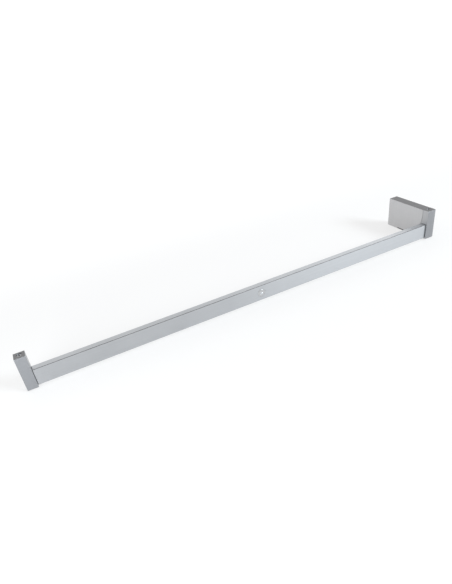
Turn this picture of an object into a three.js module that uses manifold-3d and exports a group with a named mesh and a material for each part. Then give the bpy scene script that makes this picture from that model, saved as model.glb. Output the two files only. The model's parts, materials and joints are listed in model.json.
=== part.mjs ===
// Panic exit bar for the push side of an escape door.
//
// A flat push bar is held between two upright arms. The right arm is one casting with a lever,
// and the lever swings on an axle inside a slim housing that is screwed to the door. Pushing the
// bar swings it down and towards the door. The lever presses a rack slider down, and the rack
// turns a pinion on the spindle hub, whose square socket drives the lock in the door.
//
// Millimetres. +X runs along the bar to the right, +Y towards the door, +Z up.
// The origin is the middle of the frame's back face, which lies on the door.

import * as THREE from "three";
import { mergeVertices } from "three/addons/utils/BufferGeometryUtils.js";
import Module from "manifold-3d";

const wasm = await Module();
wasm.setup();

// ---------------------------------------------------------------- driving dimensions

const OVERALL_LENGTH = 1000; // outer face of the left arm to outer face of the right arm
const PROJECTION = 129.5; // door to the front faces of the arms
const TRUE_GAP = 0.3; // between a piece and the pocket that it sits in
const RUNNING_GAP = 0.03; // least radial clearance of a shaft in its bearing
const FACE_GAP = 0.05; // between faces that rest on each other
const OVER = 1; // how far a cutting tool, or a joined piece, reaches past the face that it crosses

const ARM_HEIGHT = 73.5;
const LEFT_ARM_DEPTH = 19;
const RIGHT_ARM_DEPTH = 16; // at the height of the axle
const ARM_BOTTOM = -35.75;
const ARM_TOP = ARM_BOTTOM + ARM_HEIGHT;
const RIGHT_ARM_WIDTH = 24;
const LEFT_ARM_WIDTH = 20;
const ARM_FRONT = -PROJECTION;
const LEFT_ARM_BACK = ARM_FRONT + LEFT_ARM_DEPTH;
const RIGHT_ARM_BACK = ARM_FRONT + RIGHT_ARM_DEPTH;

const RIGHT_ARM_INNER = -RIGHT_ARM_WIDTH / 2;
const LEFT_ARM_OUTER = RIGHT_ARM_WIDTH / 2 - OVERALL_LENGTH;
const LEFT_ARM_INNER = LEFT_ARM_OUTER + LEFT_ARM_WIDTH;
const LEFT_ARM_MIDDLE = LEFT_ARM_OUTER + LEFT_ARM_WIDTH / 2;

const BAR_HEIGHT = 34.7;
const BAR_DEPTH = 14.8;
const BAR_RECESS = 3.5; // the bar's face behind the front faces of the arms
const BAR_BOTTOM = ARM_BOTTOM + 2.5;
const BAR_TOP = BAR_BOTTOM + BAR_HEIGHT;
const BAR_FRONT = ARM_FRONT + BAR_RECESS;
const BAR_BACK = BAR_FRONT + BAR_DEPTH;
const BAR_WALL = 1.5;
const BAR_CORNER = 1;
const BAR_INNER_CORNER = 0.2;
const BAR_MIDDLE_Z = (BAR_BOTTOM + BAR_TOP) / 2;
const FACE_STRIP = 0.7; // thickness of the strip that faces the bar
const FACE_GROOVE = 0.8; // shadow groove between the strip and the body
const FACE_RIB_INSET = 2;
const BODY_FRONT = BAR_FRONT + FACE_STRIP + FACE_GROOVE;
const LEFT_END_GAP = 0.7;
const RIGHT_END_GAP = 1.2;
const BAR_LEFT = LEFT_ARM_INNER + LEFT_END_GAP;
const BAR_RIGHT = RIGHT_ARM_INNER - RIGHT_END_GAP;
const BAR_MIDDLE_X = (LEFT_ARM_INNER + RIGHT_ARM_INNER) / 2;
const GASKET_INSET = 0.7;

const PLUG_RADIUS = 9;
const PLUG_GAP = 0.2;
const PLUG_PROUD = 1.8; // the middle of its dome in front of the bar's face
const PLUG_DOME = 1.3; // height of the dome
const PLUG_DOME_STEPS = 6;
const PLUG_CHAMFER = 0.45;
const PLUG_STEM_RADIUS = 5;
const PLUG_STEM = 8.5;
const PLUG_SOCKET_ACROSS = 5;
const PLUG_SOCKET_DEPTH = 2;

const HOUSING_WIDTH = 24.4;
const HOUSING_HEIGHT = 74.5;
const COVER_WALL = 1.5;
const COVER_REAR_GAP = 0.3;
const COVER_TOP = HOUSING_HEIGHT / 2;
const REAR_ZONE = 35; // the cover is closed below from the door to here
const BOTTOM_COVER_RISE = 3; // the cover's side ends this much higher over the bottom cover
const BOTTOM_COVER_INSET = 0.2;

const AXLE_Y = -26;
const AXLE_Z = 25;
const AXLE_RADIUS = 4;
const SEAM_RADIUS = AXLE_Y - RIGHT_ARM_BACK; // the joint of arm and cover is an arc round the axle
const SEAM_GAP = 0.5;
const LEVER_SWING = THREE.MathUtils.degToRad(9);

const LEVER_FRONT = RIGHT_ARM_BACK - 3; // where the lever runs into the arm's block
const LEVER_TOP = 31;
const LEVER_BOTTOM = 13;
const LEVER_WIDE = 20;
const LEVER_NARROW = 12;
const LEVER_NARROW_FROM = -47;
const LEVER_TAPER_FROM = -45;
const EYE_RADIUS = 9.5;
const EYE_TANGENT = THREE.MathUtils.degToRad(-110);
const BUSH_RADIUS = 5.5;
const BUSH_FLANGE_RADIUS = 7;
const BUSH_FLANGE = 2;

const FRAME_WIDTH = 20.8;
const FRAME_HEIGHT = 71;
const FRAME_BASE = 3;
const FRAME_CHEEK = 1.9;
const FRAME_DEPTH = 44;
const BRIDGE_THICKNESS = 4;
const BRIDGE_TOP = 7.5;
const TOP_BRIDGE = 3;
const TOP_BRIDGE_DEPTH = 6;
const BOTTOM_WEB = 4;
const FIXING_HOLE_RADIUS = 2.75;
const FIXING_HOLE_Z = 28;
const COUNTERSINK_RADIUS = 5;

const HUB_Z = -12;
const HUB_RADIUS = 7.5;
const HUB_SQUARE = 9.1;
const HUB_SOCKET_DEPTH = 18;
const HUB_REAR = -0.3;
const HUB_FRONT = -22;
const HUB_SHAFT_RADIUS = 4.5;
const HUB_NOSE_RADIUS = 3.5;
const HUB_NOSE_FLAT = 2.4;
const HUB_NOSE_FROM = -44;
const HUB_NOSE_TO = -62.2;
const HUB_BUSH_RADIUS = 8.4;
const HUB_BUSH_LENGTH = 3.6;
const CIRCLIP_FRONT = -61.3;
const CIRCLIP_THICKNESS = 0.8;
const CIRCLIP_RADIUS = 5;
const CIRCLIP_GROOVE = 2.8;
const CIRCLIP_SLACK = 0.1;
const CIRCLIP_OPENING = 3.2;

const GEAR_MODULE = 1;
const PINION_TEETH = 12;
const PITCH_RADIUS = (GEAR_MODULE * PINION_TEETH) / 2;
const PRESSURE_ANGLE = THREE.MathUtils.degToRad(20);
const PINION_TIP = PITCH_RADIUS + 0.9 * GEAR_MODULE;
const PINION_ROOT = PITCH_RADIUS - 1.2 * GEAR_MODULE;
const RACK_TIP = PITCH_RADIUS - 0.75 * GEAR_MODULE;
const RACK_ROOT = PITCH_RADIUS + 1.2 * GEAR_MODULE;
const TOOTH_HALF = (Math.PI * GEAR_MODULE) / 4 - 0.14; // half a tooth on the pitch line, less backlash
const GEAR_FRONT = -60;
const GEAR_BACK = -50;
const PINION_BOSS_RADIUS = 5;

const RACK_BACK = 9.2;
const RACK_BOTTOM = -20;
const RACK_SPACES_BELOW = 2; // tooth spaces below the pinion's axis
const RACK_SPACES_ABOVE = 3;
const HEAD_BOTTOM = 0.2;
const HEAD_TOP = 4.6;
const HEAD_FRONT = -75;
const HEAD_HALF_WIDTH = 9.2;
const ROLLER_Y = -55;
const ROLLER_RADIUS = 4;
const ROLLER_LENGTH = 6;
const ROLLER_Z = LEVER_BOTTOM - ROLLER_RADIUS - FACE_GAP;
const ROLLER_PIN_RADIUS = 1.5;
const FORK_CHEEK = 2.4;
const FORK_DEPTH = 9;
const FORK_TOP = 11;

const GUIDE_HALF_WIDTH = 10.2;
const GUIDE_FRONT = -77;
const GUIDE_BACK = -44.3;
const GUIDE_TOP = -5.2;
const GUIDE_BOTTOM = -34;
const GUIDE_SCREW_X = 6.5;
const GUIDE_SCREW_Z = -30;
const GUIDE_SCREW_HEAD = -54;
const GUIDE_PINION_CLEARANCE = 0.6;
const GUIDE_PINION_FRONT = 2.5; // room in front of the pinion for the circlip
const GUIDE_RACK_CLEARANCE = 0.2;
const CHANNEL_SLACK = 0.1;
const GUIDE_SPRING_CLEARANCE = 0.4;

const SPRING_Y = -69.5;
const SPRING_BOTTOM = -26.4;
const SPRING_TOP = HEAD_BOTTOM - FACE_GAP;
const SPRING_MEAN_RADIUS = 4.2;
const SPRING_WIRE_RADIUS = 0.75;
const SPRING_TURNS = 7;
const SPRING_STEPS = 12; // along one turn

// How far the roller is pressed down when the lever has swung all the way.
const ROLLER_ARM = AXLE_Y - ROLLER_Y;
const ROLLER_DROP = AXLE_Z - ROLLER_Z;
const RACK_TRAVEL = ROLLER_DROP * (1 / Math.cos(LEVER_SWING) - 1) + ROLLER_ARM * Math.tan(LEVER_SWING);

// The corner under the lever, where its taper begins, when it has swung all the way.
const CORNER_ARM = AXLE_Y - LEVER_TAPER_FROM;
const CORNER_DROP = AXLE_Z - LEVER_BOTTOM;
const PUSHED_CORNER_Z = AXLE_Z - CORNER_ARM * Math.sin(LEVER_SWING) - CORNER_DROP * Math.cos(LEVER_SWING);

const BUFFER_HALF_WIDTH = 5;
const BUFFER_GAP = 0.2;
const REST_BUFFER_INSET = 0.5;
const PUSH_BUFFER_INSET = 0.1;

const SPIGOT_IN_BAR = 32;
const SPIGOT_IN_ARM = 16.5;
const CLAMP_Y = -119.4;
const CLAMP_END = -12;
const CLAMP_RECESS = 1.2; // the clamp screw's head below the end of the arm
const CLAMP_TIP_GAP = 0.8;
const SPIGOT_SCREW_OFFSET = 20; // from the end of the bar
const SCREW_TO_BORE_END = 0.5;

// The screws, each with the radii of its thread and head and its socket across the flats.
const SMALL_SCREW = { radius: 1.5, head: 3, socket: 2 };
const SPIGOT_SCREW = { radius: 2, head: 4, socket: 2.5 };
const CLAMP_SCREW = { radius: 2.5, head: 5, socket: 3 };
const GUIDE_SCREW = { radius: 1.5, head: 2.75, socket: 2.5, headHeight: 3, length: 13.5 };
const HEAD_RIM = 0.3; // the straight rim of a countersunk head
const HEAD_SINK = 0.5; // the straight mouth of a countersunk bore
const HEAD_GAP = 0.15;
const SCREW_TIP = 0.5;

const SUPPORT_HOLE_RADIUS = 2.1;
const SUPPORT_HOLE_DEPTH = 5;
const SUPPORT_HOLES_Z = [12, 30];

const COVER_SCREW_Y = -17;
const COVER_SCREW_LENGTH = 6;
const BOTTOM_COVER_SCREW_Y = -55;
const BOTTOM_COVER_SCREW_LENGTH = 7.5;
const ROUND = 24; // sides of a bore or pin
const LARGE_ROUND = 96; // sides of the circle that the housing's front follows
const REACH = 200; // longer than any cut needs

// ---------------------------------------------------------------- materials

function metal(color, roughness) {
  return new THREE.MeshStandardMaterial({ color, roughness, metalness: 1 });
}

function plastic(color, roughness) {
  return new THREE.MeshStandardMaterial({ color, roughness, metalness: 0 });
}

const satinAluminium = () => metal(0xb9bdc2, 0.38);
const steel = () => metal(0x9a9da0, 0.3);
const darkSteel = () => metal(0x5f6266, 0.35);
const castZinc = () => metal(0x8d9094, 0.5);
const brass = () => metal(0xc2a15a, 0.35);
const blackPlastic = () => plastic(0x1d1e20, 0.55);
const whitePlastic = () => plastic(0xd8d6cf, 0.5);
const rubber = () => plastic(0x232323, 0.85);

// ---------------------------------------------------------------- solids

const ALONG_X = new THREE.Matrix4().makeBasis(
  new THREE.Vector3(0, 1, 0),
  new THREE.Vector3(0, 0, 1),
  new THREE.Vector3(1, 0, 0),
);

// An outline drawn with y and z, extruded along X from x0 to x1.
function profileAlongX(shape, x0, x1, curveSegments = 24) {
  const geometry = new THREE.ExtrudeGeometry(shape, { depth: x1 - x0, bevelEnabled: false, curveSegments });
  return geometry.applyMatrix4(ALONG_X).translate(x0, 0, 0);
}

// An outline drawn with x and z, extruded along Y from y0 to y1.
function profileAlongY(shape, y0, y1, curveSegments = 24) {
  const geometry = new THREE.ExtrudeGeometry(shape, { depth: y1 - y0, bevelEnabled: false, curveSegments });
  return geometry.rotateX(Math.PI / 2).translate(0, y1, 0);
}

function block(x0, x1, y0, y1, z0, z1) {
  const geometry = new THREE.BoxGeometry(x1 - x0, y1 - y0, z1 - z0);
  return geometry.translate((x0 + x1) / 2, (y0 + y1) / 2, (z0 + z1) / 2);
}

function rodAlongX(radius, x0, x1, y, z, sides = ROUND) {
  const geometry = new THREE.CylinderGeometry(radius, radius, x1 - x0, sides);
  return geometry.rotateZ(-Math.PI / 2).translate((x0 + x1) / 2, y, z);
}

function rodAlongY(radius, y0, y1, x, z, sides = ROUND) {
  return new THREE.CylinderGeometry(radius, radius, y1 - y0, sides).translate(x, (y0 + y1) / 2, z);
}

function rodAlongZ(radius, z0, z1, x, y, sides = ROUND) {
  const geometry = new THREE.CylinderGeometry(radius, radius, z1 - z0, sides);
  return geometry.rotateX(Math.PI / 2).translate(x, y, (z0 + z1) / 2);
}

// The radius of a faceted bearing bore whose flats stay clear of a shaft that turns in it.
function bearing(shaftRadius) {
  return (shaftRadius + RUNNING_GAP) / Math.cos(Math.PI / ROUND);
}

function toSolid(geometry) {
  const bare = geometry.clone();
  bare.deleteAttribute("normal");
  bare.deleteAttribute("uv");
  const merged = mergeVertices(bare, 1e-4);
  return new wasm.Manifold(
    new wasm.Mesh({
      numProp: 3,
      vertProperties: new Float32Array(merged.attributes.position.array),
      triVerts: new Uint32Array(merged.index.array),
    }),
  );
}

function toGeometry(solid) {
  const mesh = solid.getMesh();
  const geometry = new THREE.BufferGeometry();
  geometry.setAttribute("position", new THREE.BufferAttribute(new Float32Array(mesh.vertProperties), 3));
  geometry.setIndex(new THREE.BufferAttribute(new Uint32Array(mesh.triVerts), 1));
  const flat = geometry.toNonIndexed();
  flat.computeVertexNormals();
  return flat;
}

function join(first, ...others) {
  return toGeometry(others.reduce((solid, other) => solid.add(toSolid(other)), toSolid(first)));
}

function cut(first, ...tools) {
  return toGeometry(tools.reduce((solid, tool) => solid.subtract(toSolid(tool)), toSolid(first)));
}

function common(first, second) {
  return toGeometry(toSolid(first).intersect(toSolid(second)));
}

function part(name, geometry, material) {
  const mesh = new THREE.Mesh(geometry, material);
  mesh.name = name;
  return mesh;
}

function roundedRectangle(a0, a1, b0, b1, radius, makePath = () => new THREE.Shape()) {
  const path = makePath();
  path.moveTo(a0 + radius, b0);
  path.lineTo(a1 - radius, b0);
  path.absarc(a1 - radius, b0 + radius, radius, -Math.PI / 2, 0, false);
  path.lineTo(a1, b1 - radius);
  path.absarc(a1 - radius, b1 - radius, radius, 0, Math.PI / 2, false);
  path.lineTo(a0 + radius, b1);
  path.absarc(a0 + radius, b1 - radius, radius, Math.PI / 2, Math.PI, false);
  path.lineTo(a0, b0 + radius);
  path.absarc(a0 + radius, b0 + radius, radius, Math.PI, 1.5 * Math.PI, false);
  return path;
}

// ---------------------------------------------------------------- screws

// A hexagon socket whose mouth is at the origin, reaching from y0 to y1.
function hexagonSocket(across, y0, y1) {
  return rodAlongY(across / Math.sqrt(3), y0, y1, 0, 0, 6);
}

// A countersunk screw. Its head's face is at the origin, and it points along -Y.
function countersunkScrew({ radius, head, socket }, length) {
  const cone = head - radius;
  const profile = [
    new THREE.Vector2(0, -length),
    new THREE.Vector2(radius - SCREW_TIP, -length),
    new THREE.Vector2(radius, -length + SCREW_TIP),
    new THREE.Vector2(radius, -HEAD_RIM - cone),
    new THREE.Vector2(head, -HEAD_RIM),
    new THREE.Vector2(head, 0),
    new THREE.Vector2(0, 0),
  ];
  const socketDepth = cone * 0.9;
  return cut(new THREE.LatheGeometry(profile, ROUND), hexagonSocket(socket, -socketDepth, OVER));
}

// The hollow that a countersunk screw sits in, a little larger all round.
function countersunkBore(screw, length, sink = HEAD_SINK) {
  const radius = screw.radius + TRUE_GAP;
  const head = screw.head + HEAD_GAP;
  const profile = [
    new THREE.Vector2(0, -length - TRUE_GAP),
    new THREE.Vector2(radius, -length - TRUE_GAP),
    new THREE.Vector2(radius, -sink - (head - radius)),
    new THREE.Vector2(head, -sink),
    new THREE.Vector2(head, OVER),
    new THREE.Vector2(0, OVER),
  ];
  return new THREE.LatheGeometry(profile, ROUND);
}

// A cap screw pointing along +Y from the front of its head at the origin.
function capScrew({ radius, head, socket, headHeight, length }) {
  const profile = [
    new THREE.Vector2(0, 0),
    new THREE.Vector2(head, 0),
    new THREE.Vector2(head, headHeight),
    new THREE.Vector2(radius, headHeight),
    new THREE.Vector2(radius, length),
    new THREE.Vector2(0, length),
  ];
  return cut(new THREE.LatheGeometry(profile, ROUND), hexagonSocket(socket, -OVER, headHeight * 0.6));
}

// ---------------------------------------------------------------- the bar and its ends

// The hollow inside the bar's body, which the spigots fill.
const CAVITY = {
  y0: BODY_FRONT + BAR_WALL,
  y1: BAR_BACK - BAR_WALL,
  z0: BAR_BOTTOM + BAR_WALL,
  z1: BAR_TOP - BAR_WALL,
};

const SPIGOT = {
  y0: CAVITY.y0 + TRUE_GAP,
  y1: CAVITY.y1 - TRUE_GAP,
  z0: CAVITY.z0 + TRUE_GAP,
  z1: CAVITY.z1 - TRUE_GAP,
};

const SPIGOT_SCREW_LENGTH = 7;
const SPIGOT_SCREWS_X = { left: BAR_LEFT + SPIGOT_SCREW_OFFSET, right: BAR_RIGHT - SPIGOT_SCREW_OFFSET };

// The spigot screws enter from the back of the bar.
function spigotScrewBore(x) {
  return countersunkBore(SPIGOT_SCREW, SPIGOT_SCREW_LENGTH).translate(x, BAR_BACK, BAR_MIDDLE_Z);
}

function barBody() {
  const section = roundedRectangle(BODY_FRONT, BAR_BACK, BAR_BOTTOM, BAR_TOP, BAR_CORNER);
  const hole = new THREE.Path();
  roundedRectangle(CAVITY.y0, CAVITY.y1, CAVITY.z0, CAVITY.z1, BAR_INNER_CORNER, () => hole);
  section.holes.push(hole);
  const plugHole = PLUG_STEM_RADIUS + TRUE_GAP;
  return cut(
    profileAlongX(section, BAR_LEFT, BAR_RIGHT, 3),
    rodAlongY(plugHole, BODY_FRONT - OVER, CAVITY.y0 + OVER, BAR_MIDDLE_X, BAR_MIDDLE_Z),
    spigotScrewBore(SPIGOT_SCREWS_X.left),
    spigotScrewBore(SPIGOT_SCREWS_X.right),
  );
}

function barFace() {
  const front = BAR_FRONT + FACE_STRIP;
  const rib0 = BAR_BOTTOM + FACE_RIB_INSET;
  const rib1 = BAR_TOP - FACE_RIB_INSET;
  const strip = block(BAR_LEFT, BAR_RIGHT, BAR_FRONT, front, BAR_BOTTOM, BAR_TOP);
  const rib = block(BAR_LEFT, BAR_RIGHT, BAR_FRONT + FACE_STRIP / 2, BODY_FRONT - FACE_GAP, rib0, rib1);
  const hole = PLUG_RADIUS + PLUG_GAP;
  return cut(
    join(strip, rib),
    rodAlongY(hole, BAR_FRONT - OVER, BODY_FRONT + OVER, BAR_MIDDLE_X, BAR_MIDDLE_Z),
  );
}

// The plug is turned about Y. Its front is at the origin.
function centrePlug() {
  const seat = BODY_FRONT - FACE_GAP - (BAR_FRONT - PLUG_PROUD);
  const domeRadius = PLUG_RADIUS - PLUG_CHAMFER;
  const sphere = (domeRadius ** 2 + PLUG_DOME ** 2) / (2 * PLUG_DOME);
  const profile = [];
  for (let i = 0; i <= PLUG_DOME_STEPS; i += 1) {
    const radius = (domeRadius * i) / PLUG_DOME_STEPS;
    profile.push(new THREE.Vector2(radius, sphere - Math.sqrt(sphere ** 2 - radius ** 2)));
  }
  profile.push(
    new THREE.Vector2(PLUG_RADIUS, PLUG_DOME + PLUG_CHAMFER),
    new THREE.Vector2(PLUG_RADIUS, seat),
    new THREE.Vector2(PLUG_STEM_RADIUS, seat),
    new THREE.Vector2(PLUG_STEM_RADIUS, PLUG_STEM),
    new THREE.Vector2(0, PLUG_STEM),
  );
  return cut(
    new THREE.LatheGeometry(profile, ROUND),
    hexagonSocket(PLUG_SOCKET_ACROSS, -OVER, PLUG_SOCKET_DEPTH),
  );
}

function endGasket(x0, x1) {
  const outer = block(
    x0 + FACE_GAP,
    x1 - FACE_GAP,
    BAR_FRONT + GASKET_INSET,
    BAR_BACK - GASKET_INSET,
    BAR_BOTTOM + GASKET_INSET,
    BAR_TOP - GASKET_INSET,
  );
  return cut(outer, block(x0 - OVER, x1 + OVER, CAVITY.y0, CAVITY.y1, CAVITY.z0, CAVITY.z1));
}

// A solid bar that reaches from inside the arm into the end of the bar.
function spigot(x0, x1, clampX, screwX) {
  return cut(
    block(x0, x1, SPIGOT.y0, SPIGOT.y1, SPIGOT.z0, SPIGOT.z1),
    rodAlongZ(CLAMP_SCREW.radius + TRUE_GAP, CLAMP_END - OVER, REACH, clampX, CLAMP_Y),
    spigotScrewBore(screwX),
  );
}

// The pocket for a spigot and the bore for the clamp screw that comes down from the arm's top.
function armCuts(pocketX0, pocketX1, clampX) {
  const bore = countersunkBore(CLAMP_SCREW, ARM_TOP - SPIGOT.z1, CLAMP_RECESS + HEAD_RIM);
  return [
    block(pocketX0, pocketX1, CAVITY.y0, CAVITY.y1, CAVITY.z0, CAVITY.z1),
    bore.rotateX(Math.PI / 2).translate(clampX, CLAMP_Y, ARM_TOP),
  ];
}

function leftArm() {
  const holeEnd = LEFT_ARM_BACK - SUPPORT_HOLE_DEPTH;
  const holes = SUPPORT_HOLES_Z.map((z) =>
    rodAlongY(SUPPORT_HOLE_RADIUS, holeEnd, LEFT_ARM_BACK + OVER, LEFT_ARM_MIDDLE, z),
  );
  return cut(
    block(LEFT_ARM_OUTER, LEFT_ARM_INNER, ARM_FRONT, LEFT_ARM_BACK, ARM_BOTTOM, ARM_TOP),
    ...armCuts(LEFT_ARM_INNER - SPIGOT_IN_ARM - TRUE_GAP, LEFT_ARM_INNER + OVER, LEFT_ARM_MIDDLE),
    ...holes,
  );
}

// ---------------------------------------------------------------- the right arm and its lever

// Where a circle round the axle meets a height, on the side away from the door.
function onSeam(radius, z) {
  const rise = z - AXLE_Z;
  const y = AXLE_Y - Math.sqrt(radius * radius - rise * rise);
  return { y, angle: Math.atan2(rise, y - AXLE_Y) };
}

// The upright block of the arm. Its back is hollowed to an arc round the axle, so that it
// slides past the front edge of the cover with the same gap all the way.
function armBlockOutline() {
  const bottom = onSeam(SEAM_RADIUS, ARM_BOTTOM);
  const top = onSeam(SEAM_RADIUS, ARM_TOP);
  const shape = new THREE.Shape();
  shape.moveTo(ARM_FRONT, ARM_BOTTOM);
  shape.lineTo(bottom.y, ARM_BOTTOM);
  shape.absarc(AXLE_Y, AXLE_Z, SEAM_RADIUS, bottom.angle, top.angle, true);
  shape.lineTo(ARM_FRONT, ARM_TOP);
  return shape;
}

// The lever runs back from the block to the eye round the axle.
function leverOutline() {
  const eyeTop = Math.PI - Math.asin((LEVER_TOP - AXLE_Z) / EYE_RADIUS);
  const shape = new THREE.Shape();
  shape.moveTo(LEVER_FRONT, LEVER_BOTTOM);
  shape.lineTo(LEVER_TAPER_FROM, LEVER_BOTTOM);
  shape.lineTo(AXLE_Y + EYE_RADIUS * Math.cos(EYE_TANGENT), AXLE_Z + EYE_RADIUS * Math.sin(EYE_TANGENT));
  shape.absarc(AXLE_Y, AXLE_Z, EYE_RADIUS, EYE_TANGENT, eyeTop, false);
  shape.lineTo(LEVER_FRONT, LEVER_TOP);
  return shape;
}

function rightArm() {
  const half = RIGHT_ARM_WIDTH / 2;
  const casting = join(
    profileAlongX(armBlockOutline(), -half, half),
    profileAlongX(leverOutline(), -LEVER_NARROW / 2, LEVER_NARROW / 2),
    block(-LEVER_WIDE / 2, LEVER_WIDE / 2, LEVER_FRONT, LEVER_NARROW_FROM, LEVER_BOTTOM, LEVER_TOP),
  );
  return cut(
    casting,
    rodAlongX(BUSH_RADIUS + FACE_GAP, -REACH, REACH, AXLE_Y, AXLE_Z),
    ...armCuts(-half - OVER, -half + SPIGOT_IN_ARM + TRUE_GAP, 0),
  );
}

// A flanged bush for the right side of the eye, centred on the axle.
function axleBush() {
  const eye = LEVER_NARROW / 2;
  return cut(
    join(
      rodAlongX(BUSH_RADIUS, TRUE_GAP, eye + OVER, 0, 0),
      rodAlongX(BUSH_FLANGE_RADIUS, eye + FACE_GAP, eye + BUSH_FLANGE, 0, 0),
    ),
    rodAlongX(bearing(AXLE_RADIUS), -OVER, REACH, 0, 0),
  );
}

// ---------------------------------------------------------------- the housing

function coverOutline() {
  const radius = SEAM_RADIUS - SEAM_GAP;
  const bottom = onSeam(radius, -COVER_TOP);
  const top = onSeam(radius, COVER_TOP);
  const shape = new THREE.Shape();
  shape.moveTo(bottom.y, -COVER_TOP);
  shape.lineTo(-COVER_REAR_GAP, -COVER_TOP);
  shape.lineTo(-COVER_REAR_GAP, COVER_TOP);
  shape.lineTo(top.y, COVER_TOP);
  shape.absarc(AXLE_Y, AXLE_Z, radius, top.angle, bottom.angle + 2 * Math.PI, false);
  return shape;
}

function coverScrewBore() {
  const bore = countersunkBore(SMALL_SCREW, COVER_SCREW_LENGTH);
  return bore.rotateX(-Math.PI / 2).translate(0, COVER_SCREW_Y, -COVER_TOP);
}

function housingCover() {
  const half = HOUSING_WIDTH / 2;
  const inner = half - COVER_WALL;
  const innerTop = COVER_TOP - COVER_WALL;
  return cut(
    profileAlongX(coverOutline(), -half, half),
    block(-inner, inner, -REACH, OVER, -innerTop, innerTop),
    block(-REACH, REACH, -REACH, -REAR_ZONE, -REACH, -COVER_TOP + BOTTOM_COVER_RISE),
    coverScrewBore(),
  );
}

function bottomCoverScrewBore() {
  const bore = countersunkBore(SMALL_SCREW, BOTTOM_COVER_SCREW_LENGTH);
  return bore.rotateX(-Math.PI / 2).translate(0, BOTTOM_COVER_SCREW_Y, -COVER_TOP + BOTTOM_COVER_INSET);
}

function bottomCover() {
  const half = HOUSING_WIDTH / 2 - BOTTOM_COVER_INSET;
  const bottom = -COVER_TOP + BOTTOM_COVER_INSET;
  const top = -COVER_TOP + BOTTOM_COVER_RISE - FACE_GAP;
  const slab = block(-half, half, -REACH, -REAR_ZONE - TRUE_GAP, bottom, top);
  const swingEdge = rodAlongX(SEAM_RADIUS - SEAM_GAP, -half - OVER, half + OVER, AXLE_Y, AXLE_Z, LARGE_ROUND);
  const underFrame = FRAME_WIDTH / 2 + TRUE_GAP;
  const lowest = -FRAME_HEIGHT / 2 - TRUE_GAP;
  const frameRelief = block(-underFrame, underFrame, -FRAME_DEPTH - TRUE_GAP, 0, lowest, 0);
  const guideWidth = GUIDE_HALF_WIDTH + TRUE_GAP;
  const guideRelief = block(-guideWidth, guideWidth, GUIDE_FRONT - TRUE_GAP, 0, GUIDE_BOTTOM - FACE_GAP, 0);
  return cut(common(slab, swingEdge), frameRelief, guideRelief, bottomCoverScrewBore());
}

// A hole through the base for a screw into the door, with a 45 degree countersink.
function fixingHole(z) {
  const mouth = COUNTERSINK_RADIUS + OVER;
  const depth = mouth - FIXING_HOLE_RADIUS;
  const cone = new THREE.CylinderGeometry(FIXING_HOLE_RADIUS, mouth, depth, ROUND);
  return [
    rodAlongY(FIXING_HOLE_RADIUS, -FRAME_BASE - OVER, OVER, 0, z),
    cone.translate(0, -FRAME_BASE - OVER + depth / 2, z),
  ];
}

function frame() {
  const half = FRAME_WIDTH / 2;
  const tall = FRAME_HEIGHT / 2;
  const inside = half - FRAME_CHEEK;
  const front = -FRAME_DEPTH;
  const bridge = front + BRIDGE_THICKNESS;
  const screwRadius = GUIDE_SCREW.radius + TRUE_GAP;
  const casting = join(
    block(-half, half, -FRAME_BASE, 0, -tall, tall),
    block(-half, -inside, front, -OVER, -tall, tall),
    block(inside, half, front, -OVER, -tall, tall),
    block(-half, half, front, -OVER, -tall, -tall + BOTTOM_WEB),
    block(-half, half, front, bridge, -tall, BRIDGE_TOP),
    block(-half, half, front, front + TOP_BRIDGE_DEPTH, tall - TOP_BRIDGE, tall),
  );
  return cut(
    casting,
    rodAlongX(AXLE_RADIUS + FACE_GAP, -REACH, REACH, AXLE_Y, AXLE_Z),
    rodAlongY(HUB_BUSH_RADIUS + FACE_GAP, -FRAME_BASE - OVER, OVER, 0, HUB_Z),
    rodAlongY(bearing(HUB_SHAFT_RADIUS), front - OVER, bridge + OVER, 0, HUB_Z),
    rodAlongY(screwRadius, front - OVER, bridge + OVER, -GUIDE_SCREW_X, GUIDE_SCREW_Z),
    rodAlongY(screwRadius, front - OVER, bridge + OVER, GUIDE_SCREW_X, GUIDE_SCREW_Z),
    ...fixingHole(FIXING_HOLE_Z),
    ...fixingHole(-FIXING_HOLE_Z),
    coverScrewBore(),
  );
}

function axle() {
  const half = FRAME_WIDTH / 2 - FACE_GAP;
  return rodAlongX(AXLE_RADIUS, -half, half, 0, 0);
}

function restBuffer() {
  const top = FRAME_HEIGHT / 2 - TOP_BRIDGE - FACE_GAP;
  const front = -FRAME_DEPTH + REST_BUFFER_INSET;
  const back = -FRAME_DEPTH + TOP_BRIDGE_DEPTH - REST_BUFFER_INSET;
  return block(-BUFFER_HALF_WIDTH, BUFFER_HALF_WIDTH, front, back, LEVER_TOP + BUFFER_GAP, top);
}

function pushBuffer() {
  const front = -FRAME_DEPTH + PUSH_BUFFER_INSET;
  const back = -FRAME_DEPTH + BRIDGE_THICKNESS - PUSH_BUFFER_INSET;
  const top = PUSHED_CORNER_Z - BUFFER_GAP;
  return block(-BUFFER_HALF_WIDTH, BUFFER_HALF_WIDTH, front, back, BRIDGE_TOP + FACE_GAP, top);
}

// ---------------------------------------------------------------- the rack and its guide

// Half the thickness of an involute pinion tooth at a radius, as an angle.
function toothHalfAngle(radius) {
  const involute = (a) => Math.tan(a) - a;
  const base = PITCH_RADIUS * Math.cos(PRESSURE_ANGLE);
  const angle = Math.acos(Math.min(1, base / radius));
  return TOOTH_HALF / PITCH_RADIUS + involute(PRESSURE_ANGLE) - involute(angle);
}

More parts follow.
